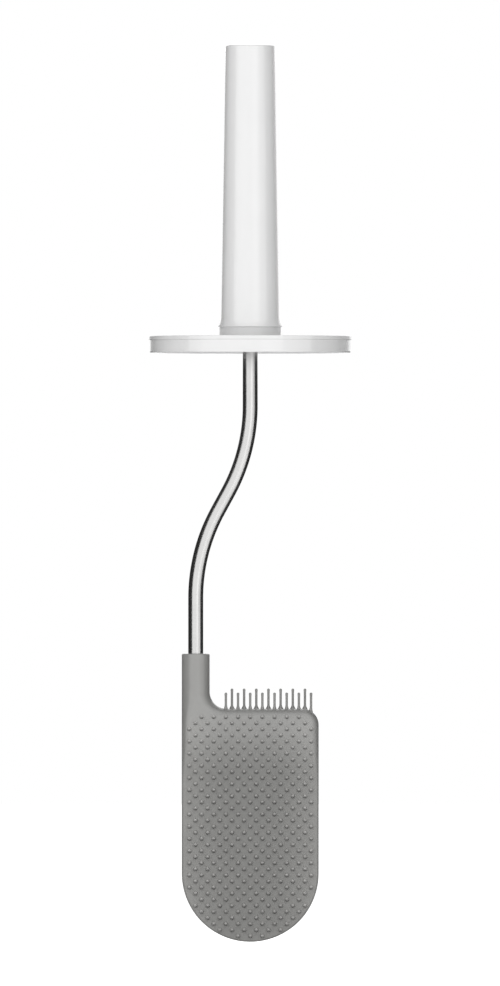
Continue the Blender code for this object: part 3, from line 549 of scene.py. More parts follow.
@dataclass
class Surface:
    """A piece in the making: grids of points and single polygons, welded where they meet."""

    name: str
    points: list[np.ndarray] = field(default_factory=list)
    places: list[np.ndarray] = field(default_factory=list)
    faces: list[list[int]] = field(default_factory=list)
    has_places: bool = False

    def count(self) -> int:
        """Number of points so far."""
        return sum(len(block) for block in self.points)

    def add(self, grid: np.ndarray, places: np.ndarray | None = None) -> None:
        """Add a grid, or many equal ones, with a face between each four neighbours.

        Args:
            grid: points of shape (rows, columns, 3), or (copies, rows, columns, 3).
            places: the UV map in the grid's shape; where it is left out, its coordinates are 1.
        """
        grids = grid.reshape(-1, *grid.shape[-3:])
        number = self.count() + np.arange(grids.size // 3).reshape(grids.shape[:3])
        near = number[:, :-1]
        far = number[:, 1:]
        quads = np.stack([near[..., :-1], near[..., 1:], far[..., 1:], far[..., :-1]], axis=-1)
        self.points.append(grids.reshape(-1, 3))
        self.places.append(np.ones((grids.size // 3, 2)) if places is None else places.reshape(-1, 2))
        self.has_places = self.has_places or places is not None
        self.faces += quads.reshape(-1, 4).tolist()

    def add_polygon(self, ring: np.ndarray) -> None:
        """Add one flat face on a ring of points; its UV coordinates are 1.

        Args:
            ring: its corners in order.
        """
        start = self.count()
        self.points.append(ring)
        self.places.append(np.ones((len(ring), 2)))
        self.faces.append(list(range(start, start + len(ring))))

    def build(self, finish: Finish, body: Body, *stands_for: str) -> bpy.types.Object:
        """Weld the grids, turn the faces outwards, and make the piece ride on its body.

        Args:
            finish: what it is dressed in.
            body: the body that it moves with.
            stands_for: the CAD nodes that it replaces.

        Returns:
            The finished object, at the origin.
        """
        mesh = bpy.data.meshes.new(self.name)
        mesh.from_pydata(np.concatenate(self.points), [], self.faces)
        if self.has_places:
            corners = np.concatenate([np.asarray(face) for face in self.faces])
            layer = mesh.uv_layers.new(name="length_and_girth")
            layer.data.foreach_set("uv", np.concatenate(self.places)[corners].ravel())
        bm = bmesh.new()
        bm.from_mesh(mesh)
        bmesh.ops.remove_doubles(bm, verts=bm.verts, dist=WELD_DISTANCE)
        bmesh.ops.recalc_face_normals(bm, faces=bm.faces)
        bm.to_mesh(mesh)
        bm.free()
        mesh.shade_smooth()
        mesh.set_sharp_from_angle(angle=math.radians(SMOOTH_ANGLE))
        mesh.materials.append(finish.material())
        obj = place_object(self.name, mesh)
        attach(obj, body.value)
        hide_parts(*stands_for)
        log.info("%s: %d faces on %s", self.name, len(mesh.polygons), body.value)
        return obj


def turned_piece(name: str, corners: list[Triple], sides: int, centre_x: float = 0.0) -> Surface:
    """A surface turned from a profile with rounded corners.

    Args:
        name: the piece's name.
        corners: rows of (radius, height, rounding).
        sides: number of sides round the axis.
        centre_x: where the axis stands.

    Returns:
        The piece's surface.
    """
    surface = Surface(name)
    surface.add(turned(rounded(corners), sides, centre_x))
    return surface


def ring_piece(name: str, radius: float, wire: float, height: float, centre_x: float) -> Surface:
    """A ring of round section: a circle of the wire's radius, turned about an upright axis.

    Args:
        name: the piece's name.
        radius: from the axis to the middle of the wire.
        wire: the wire's own radius.
        height: where the ring lies.
        centre_x: where the axis stands.

    Returns:
        The piece's surface.
    """
    surface = Surface(name)
    surface.add(turned(arc(radius, height, wire, 0, 360, WIRE_CHORDS), RING_SIDES, centre_x))
    return surface


def dress(finish: Finish, *nodes: str) -> None:
    """Give CAD nodes that keep their own shape a finish.

    Args:
        finish: what they are dressed in.
        nodes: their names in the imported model.
    """
    for name in nodes:
        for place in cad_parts[name].material_slots:
            place.material = finish.material()
        log.info("%s: dressed in %s", name, finish.name)


@dataclass
class Handle:
    """White grip with its end cap, the collar under it, and the fittings inside."""

    base_radius: float = 0.01365
    top_radius: float = 0.01155
    top_round: float = 0.0008
    mouth_round: float = 0.0001
    foot_round: float = 0.0003
    foot_band: float = 0.0001
    flare: float = 0.0046
    flare_chords: int = 16
    wall: float = 0.0022
    cap_seat: float = 0.0016
    cap_radius: float = 0.01046
    cap_seam: float = 0.00012
    cap_crown: float = 0.0006
    cap_round: float = 0.00025
    cap_chords: int = 10
    skirt_gap: float = 0.0003
    skirt_wall: float = 0.0012
    skirt_height: float = 0.006
    skirt_round: float = 0.0003
    collar_round: float = 0.00015
    collar_seam: float = 0.00002
    collar_bore: float = 0.0071
    sides: int = 128

    def radius_at(self, height: float) -> float:
        """Outer radius of the straight taper: from the base radius above the flare to the top radius.

        Args:
            height: where it is wanted.

        Returns:
            The radius there.
        """
        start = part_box("handle_shell")[0].z + self.flare
        share = (height - start) / (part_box("handle_cap")[1].z - start)
        return self.base_radius + (self.top_radius - self.base_radius) * share

    def grip_profile(self) -> list[Triple]:
        """Corners of the grip's wall; its flare falls off with the square of what is left of the way up.

        Returns:
            Rows of (radius, height, rounding), up the outside and down the bore.
        """
        low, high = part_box("handle_shell")
        start = low.z + self.foot_round + self.foot_band
        share = shares(self.flare_chords)
        radius = self.base_radius + (high.x - self.base_radius) * (1 - share) ** 2
        height = start + (low.z + self.flare - start) * share
        bore_foot = self.radius_at(low.z) - self.wall
        seat = high.z - self.cap_seat
        mouth = self.cap_radius + self.cap_seam
        corners = [(bore_foot, low.z, 0), (high.x, low.z, self.foot_round)]
        corners += [(r, z, 0) for r, z in zip(radius, height)]
        corners += [(self.radius_at(high.z), high.z, self.top_round), (mouth, high.z, self.mouth_round)]
        corners += [(mouth, seat, 0), (self.radius_at(seat) - self.wall, seat, 0), (bore_foot, low.z, 0)]
        return corners

    def cap_profile(self) -> list[Triple]:
        """Corners of the cap; its crown falls off with the square of the distance from the axis.

        Returns:
            Rows of (radius, height, rounding), out over the crown and back in below it.
        """
        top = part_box("handle_cap")[1].z
        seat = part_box("handle_shell")[1].z - self.cap_seat + self.skirt_gap
        skirt = self.radius_at(seat) - self.wall - self.skirt_gap
        bore = skirt - self.skirt_wall
        foot = seat - self.skirt_height
        share = shares(self.cap_chords)[:-1]
        corners = [(self.cap_radius * s, top - self.cap_crown * s * s, 0) for s in share]
        corners += [(self.cap_radius, top - self.cap_crown, self.cap_round), (self.cap_radius, seat, 0)]
        corners += [(skirt, seat, 0), (skirt, foot, self.skirt_round), (bore, foot, self.skirt_round)]
        return corners + [(bore, seat, 0), (0, seat, 0)]

    def collar_profile(self) -> list[Triple]:
        """Corners of the collar, which stands between the lid and the grip with a thin seam at each.

        Returns:
            Rows of (radius, height, rounding), up the outside and down the bore.
        """
        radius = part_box("collar")[1].x
        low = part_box("lid")[1].z + self.collar_seam
        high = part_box("handle_shell")[0].z - self.collar_seam
        return [(self.collar_bore, low, 0), (radius, low, self.collar_round),
                (radius, high, self.collar_round), (self.collar_bore, high, 0), (self.collar_bore, low, 0)]

    def build(self) -> None:
        """Build the grip, cap and collar, and dress what they hold."""
        grip = turned_piece("handle_grip", self.grip_profile(), self.sides)
        grip.build(WHITE, Body.BRUSH, "handle_shell")
        cap = turned_piece("handle_end_cap", self.cap_profile(), self.sides)
        cap.build(WHITE, Body.BRUSH, "handle_cap")
        collar = turned_piece("collar_ring", self.collar_profile(), self.sides)
        collar.build(PALE_GREY, Body.BRUSH, "collar")
        dress(MATT_WHITE, "handle_core")
        dress(SCREW_STEEL, "handle_screw", "screw_washer")
        dress(BRASS, "tube_insert")


@dataclass
class Lid:
    """White lid with its lip and skirt, and the nut and the seal under it."""

    lip_height: float = 0.0018
    lip_step: float = 0.0005
    lip_edge: float = 0.00015
    top_edge: float = 0.0004
    wall: float = 0.0024
    plate: float = 0.0022
    skirt_outer_edge: float = 0.0006
    skirt_inner_edge: float = 0.0004
    skirt_root: float = 0.0008
    bore: float = 0.0071
    bore_edge: float = 0.0001
    boss_radius: float = 0.0145
    boss_root: float = 0.0006
    boss_edge: float = 0.0004
    boss_bore: float = 0.0127
    boss_bore_edge: float = 0.0003
    boss_bore_root: float = 0.0002
    boss_height: float = 0.004
    sides: int = 240
    nut_chamfer: float = 0.0009
    nut_sides: int = 96
    seal_radius: float = 0.0046
    seal_wire: float = 0.0008

    def profile(self) -> list[Triple]:
        """Corners of the lid's wall, from the bore over the lip and the skirt to the boss.

        Returns:
            Rows of (radius, height, rounding).
        """
        low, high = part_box("lid")
        skirt = high.x - self.lip_step
        inside = skirt - self.wall
        lip_foot = high.z - self.lip_height
        under = high.z - self.plate
        boss_foot = under - self.boss_height
        return [(self.bore, under, 0), (self.bore, high.z, self.bore_edge), (high.x, high.z, self.top_edge),
                (high.x, lip_foot, self.lip_edge), (skirt, lip_foot, self.lip_edge),
                (skirt, low.z, self.skirt_outer_edge), (inside, low.z, self.skirt_inner_edge),
                (inside, under, self.skirt_root), (self.boss_radius, under, self.boss_root),
                (self.boss_radius, boss_foot, self.boss_edge),
                (self.boss_bore, boss_foot, self.boss_bore_edge),
                (self.boss_bore, under, self.boss_bore_root), (self.bore, under, 0)]

    def nut(self) -> Surface:
        """The nut: a hexagon whose corners are cut by a cone at both faces.

        At each turn the wall stands at the smaller of two radii: the hexagon's, its half width across flats
        over the cosine of the turn from the middle of a flat, and the cone's at that height.

        Returns:
            The nut's surface.
        """
        low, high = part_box("lid_nut")
        flat = high.x * math.cos(math.pi / 6)
        hexagon = flat / np.cos(np.mod(turns(self.nut_sides), math.pi / 3) - math.pi / 6)
        cone = flat - self.nut_chamfer
        rows = [(self.bore, low.z), (cone, low.z), (high.x, low.z + self.nut_chamfer),
                (high.x, high.z - self.nut_chamfer), (cone, high.z), (self.bore, high.z), (self.bore, low.z)]
        surface = Surface("hex_nut")
        surface.add(turned(np.array(rows), self.nut_sides, widest=hexagon))
        return surface

    def build(self) -> None:
        """Build the lid, its nut and its seal."""
        turned_piece("holder_lid", self.profile(), self.sides).build(WHITE, Body.BRUSH, "lid")
        self.nut().build(MATT_WHITE, Body.BRUSH, "lid_nut")
        low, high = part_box("tube_seal")
        seal = ring_piece("seal_ring", self.seal_radius, self.seal_wire, (low.z + high.z) / 2, 0.0)
        seal.build(RUBBER, Body.BRUSH, "tube_seal")


@dataclass
class Stem:
    """Steel tube with its S-bend, and the plug with its rubber ring in the lower end."""

    radius: float = 0.0035
    wall: float = 0.0007
    rim_round: float = 0.00015
    middle_share: float = 0.5057
    bend_radius: float = 0.085
    bend_straight: float = 0.010
    bend_chords: int = 28
    sides: int = 72
    plug_flange: float = 0.0008
    plug_groove: float = 0.0015
    groove_radius: float = 0.0023
    plug_edge: float = 0.0001
    shank_edge: float = 0.0003
    nose_edge: float = 0.0002
    plug_chamfer: float = 0.0005
    plug_clearance: float = 0.0003
    ring_radius: float = 0.0031
    ring_wire: float = 0.0005

    def path(self) -> tuple[np.ndarray, np.ndarray]:
        """Centre line of the tube, from its top to its lower end.

        Two equal arcs shift the line sideways to the neck, with a short straight run between them. Their
        angle follows from the shift: the arc cosine of twice the radius less the shift, over the distance of
        twice the radius and the straight run, less the angle between those two.

        Returns:
            Rows of (x, z), and the tilt of the line at each.
        """
        tube_low, tube_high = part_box("steel_tube")
        neck = (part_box("tube_plug")[0].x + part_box("tube_plug")[1].x) / 2
        neck_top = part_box("head_skin")[1].z
        middle = neck_top + (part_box("lid")[0].z - neck_top) * self.middle_share
        diameter = 2 * self.bend_radius
        angle = math.acos((diameter + neck) / math.hypot(diameter, self.bend_straight))
        angle -= math.atan2(self.bend_straight, diameter)
        top = middle + self.bend_radius * math.sin(angle) + self.bend_straight / 2 * math.cos(angle)
        tilt = np.linspace(0.0, angle, self.bend_chords + 1)
        swing = np.stack([-self.bend_radius * (1 - np.cos(tilt)), -self.bend_radius * np.sin(tilt)], axis=-1)
        upper = swing + (0.0, top)
        run = np.array((-math.sin(angle), -math.cos(angle))) * self.bend_straight
        lower = upper[-1] + run + (swing[-1] - swing)[::-1]
        line = np.vstack([(0.0, tube_high.z), upper, lower, (neck, tube_low.z)])
        return line, np.concatenate([(0.0,), tilt, tilt[::-1], (0.0,)])

    def tube(self) -> Surface:
        """The tube: a circle carried along the path, outside down and inside back up, with rounded rims.

        Returns:
            The tube's surface, whose UV map holds the girth and the length in metres.
        """
        line, tilt = self.path()
        bore = self.radius - self.wall
        quarter = np.linspace(0.0, math.pi / 2, ROUND_CHORDS + 1)
        edge = self.rim_round * (1 - np.sin(quarter))
        inset = self.rim_round * (1 - np.cos(quarter))
        top = np.repeat(line[:1], len(quarter), axis=0) - np.stack([0 * edge, edge[::-1]], axis=-1)
        foot = np.repeat(line[-1:], len(quarter), axis=0) + np.stack([0 * edge, edge], axis=-1)
        rows = np.vstack([line[:1], top, line[1:-1], foot, line[::-1]])
        tilts = np.concatenate([tilt[:1], 0 * quarter, tilt[1:-1], 0 * quarter, tilt[::-1]])
        outside = np.concatenate([inset[::-1], np.zeros(len(line) - 2), inset])
        radius = np.concatenate([[bore], self.radius - outside, np.full(len(line), bore)])
        turn = turns(self.sides)
        across = radius[:, None] * np.cos(turn)
        x = rows[:, :1] + across * np.cos(tilts)[:, None]
        y = radius[:, None] * np.sin(turn)
        z = rows[:, 1:] - across * np.sin(tilts)[:, None]
        length = np.append(0.0, np.cumsum(np.linalg.norm(np.diff(rows, axis=0), axis=1)))
        places = np.stack(np.broadcast_arrays(turn[None, :] * self.radius, length[:, None]), axis=-1)
        surface = Surface("bent_tube")
        surface.add(np.stack([x, y, z], axis=-1), places)
        return surface

    def build(self) -> None:
        """Build the tube, its plug and the plug's ring."""
        self.tube().build(TUBE_STEEL, Body.BRUSH, "steel_tube")
        low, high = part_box("tube_plug")
        centre_x = (low.x + high.x) / 2
        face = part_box("steel_tube")[0].z - self.plug_clearance
        groove_top = face - self.plug_flange
        groove_low = groove_top - self.plug_groove
        shank = self.radius - self.wall - self.plug_clearance
        edge = self.plug_edge
        corners = [(0, high.z, 0), (shank, high.z, self.shank_edge), (shank, face, 0),
                   (self.radius, face, edge), (self.radius, groove_top, edge),
                   (self.groove_radius, groove_top, edge), (self.groove_radius, groove_low, edge),
                   (self.radius, groove_low, edge), (self.radius, low.z + self.plug_chamfer, edge),
                   (self.radius - self.plug_chamfer, low.z, self.nose_edge), (0, low.z, 0)]
        turned_piece("stem_plug", corners, self.sides, centre_x).build(MATT_WHITE, Body.BRUSH, "tube_plug")
        middle = (groove_top + groove_low) / 2
        ring = ring_piece("grip_ring", self.ring_radius, self.ring_wire, middle, centre_x)
        ring.build(RUBBER, Body.BRUSH, "plug_ring")


# A nub's rows from root to tip: shares of the root's radius and of the height, the painted shading, and how
# much painted highlight its upper side and painted shade its lower side gets.
NUB_SHARES = np.array((
    (0.00, 0.000, 0.00, 0.00),
    (1.00, 0.000, 0.05, 0.15),
    (0.71, 0.320, 0.32, 0.42),
    (0.53, 0.800, 0.48, 0.55),
    (0.40, 0.955, 0.38, 0.45),
    (0.00, 1.000, 0.12, 0.00)))


@dataclass
class Head:
    """Grey silicone head: round neck, tapering blade with rounded edges, nubs on both faces, comb on top."""

    blade_height: float = 0.109
    corner_radius: float = 0.0075
    neck_radius: float = 0.0065
    neck_fillet: float = 0.008
    neck_round: float = 0.0007
    neck_guard: float = 0.0003
    tip_half_depth: float = 0.003
    tip_edge: float = 0.001
    top_edge: float = 0.0035
    taper_low: float = 0.074
    taper_high: float = 0.100
    guard: float = 0.0003
    hole_radius: float = 0.00362
    hole_round: float = 0.0003
    cover: float = 0.0012
    cavity_radius: float = 0.0055
    cavity_depth: float = 0.0257
    edge_chords: int = 12
    taper_chords: int = 20
    tip_chords: int = 72
    bend_chords: int = 14
    face_columns: int = 12
    nub_pitch: float = 0.002846
    nub_top_margin: float = 0.00375
    nub_tip_inset: float = 0.002
    nub_top_inset: float = 0.0032
    nub_tip_height: float = 0.0026
    nub_top_height: float = 0.0013
    nub_root_radius: float = 0.0012
    nub_buried: float = 0.00025
    nub_sides: int = 10
    comb_tall: float = 0.0095
    comb_short: float = 0.0076
    tall_root_radius: float = 0.00135
    short_root_radius: float = 0.0009
    pin_root_height: float = 0.0018
    pin_root_power: float = 1.5
    pin_root_chords: int = 5
    pin_radius: float = 0.00055
    pin_bulb: float = 0.00062
    pin_bulb_chords: int = 5
    pin_swell: float = 0.0014
    pin_swell_chords: int = 4
    pin_buried: float = 0.0006
    pin_sides: int = 14
    comb_start_overlap: float = 0.0006
    comb_end_margin: float = 0.0033

    @property
    def half_width(self) -> float:
        """Half the blade's width, which is also the radius of its tip."""
        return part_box("head_skin")[1].x

    @property
    def neck_x(self) -> float:
        """Where the neck's axis stands: its side is flush with the blade's left side."""
        return self.neck_radius - self.half_width

    @property
    def neck_top(self) -> float:
        """Height of the neck's mouth."""
        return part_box("head_skin")[1].z

    @property
    def neck_rim(self) -> float:
        """Height where the neck's outline ends and its lip starts."""
        return self.neck_top - self.neck_round - self.neck_guard

    @property
    def shoulder(self) -> float:
        """Height where the neck's round fillet starts."""
        return self.blade_height + self.neck_fillet

    @property
    def fillet_x(self) -> float:
        """Where the fillet between neck and blade ends."""
        return self.neck_x + self.neck_radius + self.neck_fillet

    @property
    def corner_height(self) -> float:
        """Height where the blade's top corner starts."""
        return self.blade_height - self.corner_radius

    def taper_share(self, z: np.ndarray) -> np.ndarray:
        """0 on the thin lower blade and 1 on its thick top, eased over the taper."""
        return eased((z - self.taper_low) / (self.taper_high - self.taper_low))

    def half_depth(self, z: np.ndarray) -> np.ndarray:
        """Half the blade's thickness: the tip's, and the neck's radius where the taper has ended."""
        return self.tip_half_depth + (self.neck_radius - self.tip_half_depth) * self.taper_share(z)

    def edge_radius(self, z: np.ndarray) -> np.ndarray:
        """Rounding of the blade's edge at a height, from the tip's to the top's over the taper."""
        return self.tip_edge + (self.top_edge - self.tip_edge) * self.taper_share(z)

    def outline(self) -> tuple[np.ndarray, int, int]:
        """The head's outline from the neck's top left, round the tip, to the neck's top right.

        Returns:
            Rows of (x, z, inward x, inward z, edge rounding), and the numbers of the rows where the left
            taper starts and where the right one ends, both at the taper's top.
        """
        half = self.half_width
        share = shares(self.bend_chords)
        to_taper = self.shoulder + (self.taper_high - self.shoulder) * share[:-1]
        to_edge = self.neck_radius + (self.top_edge - self.neck_radius) * eased(share[:-1])
        taper = np.linspace(self.taper_high, self.taper_low, self.taper_chords + 1)

        def side(heights: np.ndarray, radii: np.ndarray, x: float, inward: float) -> np.ndarray:
            """Rows of a straight side at x, with the sign of its way inwards."""
            return np.stack([0 * heights + x, heights, 0 * heights + inward, 0 * heights, radii], axis=-1)

        def bend(x: float, z: float, radius: float, start: float, end: float, radii: np.ndarray,
                 inward: float = -1.0) -> np.ndarray:
            """Rows of a round bend, whose way inwards goes to its centre, or away from it with 1."""
            place = arc(x, z, radius, start, end, len(radii) - 1)
            return np.column_stack([place, arc(0, 0, inward, start, end, len(radii) - 1), radii])

        left = side(np.concatenate([[self.neck_rim], to_taper, taper]),
                    np.concatenate([[self.neck_radius], to_edge, self.edge_radius(taper)]), -half, 1.0)
        tip = bend(0, half, half, 180, 360, np.full(self.tip_chords + 1, self.tip_edge))
        right = side(taper[::-1], self.edge_radius(taper[::-1]), half, -1.0)
        top = np.full(self.bend_chords + 1, self.top_edge)
        corner = bend(half - self.corner_radius, self.corner_height, self.corner_radius, 0, 90, top)
        widening = self.top_edge + (self.neck_radius - self.top_edge) * eased(share)
        fillet = bend(self.fillet_x, self.shoulder, self.neck_fillet, 270, 180, widening, inward=1.0)
        neck_side = self.neck_x + self.neck_radius
        neck = side(np.array([self.neck_rim]), np.array([self.neck_radius]), neck_side, -1.0)
        rows = np.vstack([left, tip, right, corner, fillet, neck])
        return rows, 1 + len(to_taper), len(left) + len(tip) + len(taper) - 1

    def mouth(self) -> np.ndarray:
        """The neck's lip round the tube's hole, and the cavity of the core, turned about the neck's axis.

        Returns:
            A grid of points, from the lip's outside to the cavity's floor.
        """
        ceiling = self.neck_top - self.cover
        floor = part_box("head_core")[1].z - self.cavity_depth
        lip = [(self.neck_radius, self.neck_rim, 0), (self.neck_radius, self.neck_top, self.neck_round),
               (self.hole_radius, self.neck_top, self.hole_round), (self.hole_radius, ceiling, 0),
               (self.cavity_radius, ceiling, 0), (self.cavity_radius, floor, 0), (0, floor, 0)]
        return turned(rounded(lip), 4 * self.edge_chords, self.neck_x)

    def skin(self) -> Surface:
        """The head's skin.

        The outline rolls over its rounded edge on to each face: at each turn of a quarter circle the point
        moves in by the rounding times one less the cosine, and out in depth by the rounding times the sine.
        The faces are strips across the taper, with a flat top and a flat tip. The UV map's second coordinate
        is the tone of a painted shade on the rim: 0 on the blade's rim and over the first half of the way in,
        then up to 1 at the face, and 1 on the faces and the neck; the skin's material darkens it where it is
        low.

        Returns:
            The skin's surface.
        """
        rows, left_start, right_end = self.outline()
        x, z, inward_x, inward_z, radius = rows.T
        turn = np.linspace(0.0, math.pi / 2, self.edge_chords + 1)[:, None]
        settled = np.clip((self.neck_radius - radius) / (self.neck_radius - self.top_edge), 0.0, 1.0)
        inset = np.vstack([radius * (1 - np.cos(turn)), radius + self.guard * settled])
        sunk = np.vstack([radius * (1 - np.sin(turn)), 0 * radius])
        px = x + inward_x * inset
        pz = z + inward_z * inset
        depth = self.half_depth(pz) - sunk
        # Painted shade on the rolled rim: the tone falls below 1 there.
        tone = 1 - settled * (1 - np.clip(2 * inset[:-1] / radius - 1, 0.0, 1.0))
        tone = np.vstack([tone, np.ones(len(x))])
        back = np.stack([px, depth, pz], axis=-1)[::-1]
        rolled = np.concatenate([back, np.stack([px, -depth, pz], axis=-1)])
        painted_shading = np.concatenate([tone[::-1], tone])
        surface = Surface("silicone_head")
        surface.add(rolled, np.stack([np.ones(painted_shading.shape), painted_shading], axis=-1))
        share = shares(self.face_columns)[None, :, None]
        for face in (rolled[-1], rolled[0]):
            left = face[left_start:left_start + self.taper_chords + 1]
            right = face[right_end - self.taper_chords:right_end + 1][::-1]
            strips = left[:, None] + (right - left)[:, None] * share
            surface.add(strips)
            tip = face[left_start + self.taper_chords + 1:right_end - self.taper_chords]
            surface.add_polygon(np.vstack([tip, strips[-1][::-1]]))
            surface.add_polygon(np.vstack([face[right_end + 1:-1], face[1:left_start], strips[0]]))
        surface.add(self.mouth())
        return surface

    def edge_distance(self, x: np.ndarray, z: np.ndarray) -> np.ndarray:
        """Distance from the blade's outline: to its round tip, its round corners or its straight sides.

        Args:
            x, z: places on the blade.

        Returns:
            The distance at each place, above zero inside the outline.
        """
        across = np.abs(x)
        over_x = across - (self.half_width - self.corner_radius)
        over_z = z - self.corner_height
        to_tip = self.half_width - np.hypot(across, z - self.half_width)
        to_corner = self.corner_radius - np.hypot(over_x, over_z)
        to_sides = np.minimum(self.half_width - across, self.blade_height - z)
        upper = np.where((over_x > 0) & (over_z > 0), to_corner, to_sides)
        return np.where(z < self.half_width, to_tip, upper)

    def nub_places(self) -> tuple[np.ndarray, np.ndarray]:
        """Centres (x, z) of the staggered nubs: every second place of a square grid, clear of the rim.

        Returns:
            The x and the z of the centres.
        """
        columns = int(self.half_width / self.nub_pitch)
        rows = int(self.blade_height / self.nub_pitch) + 1
        column, row = np.meshgrid(np.arange(-columns, columns + 1), np.arange(rows))
        x = column * self.nub_pitch
        z = self.blade_height - self.nub_top_margin - row * self.nub_pitch
        inset = self.nub_tip_inset + (self.nub_top_inset - self.nub_tip_inset) * self.taper_share(z)
        kept = ((column + row) % 2 == 0) & (self.edge_distance(x, z) > inset)
        return x[kept], z[kept]

    def nub_field(self, name: str, face: Face) -> Surface:
        """The nubs of one face.

        Each nub is a round shaft on a flared root with a domed tip. Its root follows the blade's face under
        it, and its tip the depth at its centre, with a straight blend between them. The UV map's second
        coordinate is painted shading, which swings with the sine of the turn: a painted highlight on the tip
        and upper side, and painted shade on the root and lower side.

        Args:
            name: the piece's name.
            face: the face that they stand on.

        Returns:
            The nubs' surface.
        """
        x, z = self.nub_places()
        radius_share, rise, tone, painted_light_swing = NUB_SHARES.T[:, :, None]
        radius = radius_share * self.nub_root_radius
        height = self.nub_tip_height + (self.nub_top_height - self.nub_tip_height) * self.taper_share(z)
        turn = turns(self.nub_sides)
        px = x[:, None, None] + radius * np.cos(turn)
        pz = z[:, None, None] + radius * np.sin(turn)
        under = self.half_depth(pz)
        centre = self.half_depth(z)[:, None, None]
        lift = -self.nub_buried + (height[:, None, None] + self.nub_buried) * rise
        depth = under + (centre - under) * rise + lift
        girth = np.broadcast_to(turn * self.nub_root_radius, px.shape)
        # Painted highlight on the tip and upper side, painted shade on the root and lower side.
        painted_shading = np.broadcast_to(tone + painted_light_swing * np.sin(turn), px.shape)
        surface = Surface(name)
        surface.add(np.stack([px, face.value * depth, pz], axis=-1), np.stack([girth, painted_shading], axis=-1))
        return surface

    def top_line(self, x: np.ndarray) -> np.ndarray:
        """Height of the blade's top edge: level, down the round corner, and up the fillet.

        Args:
            x: places across the blade.

        Returns:
            The height at each place.
        """
        over = np.maximum(x - (self.half_width - self.corner_radius), 0.0)
        corner = self.corner_height + np.sqrt(np.maximum(self.corner_radius ** 2 - over ** 2, 0.0))
        before = np.clip(self.fillet_x - x, 0.0, self.neck_fillet)
        fillet = self.shoulder - np.sqrt(self.neck_fillet ** 2 - before ** 2)
        return np.where(x < self.fillet_x, fillet, corner)

    def comb(self) -> Surface:
        """The comb's pins: tall ones in the middle row, short ones before and behind.

        A pin's root narrows with a power of what is left of the root's height, its shaft is straight, and its
        tip swells into a small ball.

        Returns:
            The pins' surface.
        """
        first = math.ceil((self.fillet_x - self.comb_start_overlap) / self.nub_pitch)
        last = math.floor((self.half_width - self.comb_end_margin) / self.nub_pitch)
        column = np.arange(first, last + 1)
        tall = column[column % 2 == 1]
        short = column[column % 2 == 0]
        centre_x = np.concatenate([tall, short, short]) * self.nub_pitch
        centre_y = np.repeat((0.0, -self.nub_pitch, self.nub_pitch), (len(tall), len(short), len(short)))
        numbers = (len(tall), 2 * len(short))
        reach = np.repeat((self.comb_tall, self.comb_short), numbers)
        root = np.repeat((self.tall_root_radius, self.short_root_radius), numbers)[:, None]
        share = shares(self.pin_root_chords)
        root_radius = self.pin_radius + (root - self.pin_radius) * (1 - share) ** self.pin_root_power
        swell = shares(self.pin_swell_chords)
        swell_radius = self.pin_radius + (self.pin_bulb - self.pin_radius) * eased(swell)
        ball = np.linspace(0.0, math.pi / 2, self.pin_bulb_chords + 1)[1:-1]
        above = np.concatenate([swell_radius, self.pin_bulb * np.cos(ball), [0.0]])
        above = np.broadcast_to(above, (len(root), len(above)))
        radius = np.hstack([0 * root, root, root_radius, above])[:, :, None]
        from_root = np.concatenate([[-self.pin_buried] * 2, share * self.pin_root_height])
        from_top = np.concatenate([-self.pin_bulb - self.pin_swell * swell[::-1],
                                   self.pin_bulb * (np.sin(ball) - 1), [0.0]])
        turn = turns(self.pin_sides)
        px = centre_x[:, None, None] + radius * np.cos(turn)
        py = centre_y[:, None, None] + radius * np.sin(turn)
        low = self.top_line(px[:, :len(from_root)]) + from_root[:, None]
        top = (self.blade_height + reach)[:, None, None] + from_top[:, None]
        high = np.broadcast_to(top, (*top.shape[:2], len(turn)))
        surface = Surface("comb_pins")
        surface.add(np.stack([px, py, np.concatenate([low, high], axis=1)], axis=-1))
        return surface

    def build(self) -> None:
        """Build the skin, both fields of nubs and the comb, and dress the core inside."""
        self.skin().build(SILICONE, Body.HEAD, "head_skin")
        self.nub_field("front_nub_field", Face.FRONT).build(NUB_SILICONE, Body.HEAD, "front_nubs")
        self.nub_field("back_nub_field", Face.BACK).build(NUB_SILICONE, Body.HEAD, "back_nubs")
        self.comb().build(PIN_SILICONE, Body.HEAD, "comb")
        dress(CORE_GREY, "head_core")


@dataclass(frozen=True)
class SoftPanel:
    """An even light panel; its power is its radiance times pi times its area.

    A panel that mirrors show has a dark back, or the white room behind it would be added to its own light.
    """

    name: str
    centre: Triple
    faces: Triple
    width: float
    height: float
    radiance: float
    mirrored: bool = True
    back_gap: float = 0.01

    def turn(self) -> Quaternion:
        """How the panel is turned, so that it looks along its facing direction."""
        return Vector(self.faces).to_track_quat("-Z", "Y")

    def back_corners(self) -> list[Triple]:
        """Corners of the sheet on its back: half the width and height each way, turned as the panel is.

        Returns:
            The four corners in order.
        """
        middle = Vector(self.centre) - Vector(self.faces).normalized() * self.back_gap
        across = self.turn() @ Vector((self.width / 2, 0.0, 0.0))
        up = self.turn() @ Vector((0.0, self.height / 2, 0.0))
        return [tuple(middle + across * side + up * level) for side, level in SQUARE]

    def build(self) -> None:
        """Hang the panel; the camera doesn't see it."""
        light = bpy.data.lights.new(self.name, "AREA")
        light.shape = "RECTANGLE"
        light.size = self.width
        light.size_y = self.height
        light.energy = self.radiance * math.pi * self.width * self.height
        obj = place_object(self.name, light)
        obj.location = self.centre
        obj.rotation_euler = self.turn().to_euler()
        obj.visible_camera = False
        obj.visible_glossy = self.mirrored


@dataclass(frozen=True)
class SideCard:
    """An upright card beside the brush, which only mirrors see: dark, or fading to white towards its back."""

    name: str
    x: float
    front: float
    back: float
    foot: float
    top: float
    fade: tuple[float, float] | None = None

    def corners(self) -> list[Triple]:
        """The card's corners, from its lower front edge round to its upper one."""
        return [(self.x, self.front, self.foot), (self.x, self.back, self.foot),
                (self.x, self.back, self.top), (self.x, self.front, self.top)]


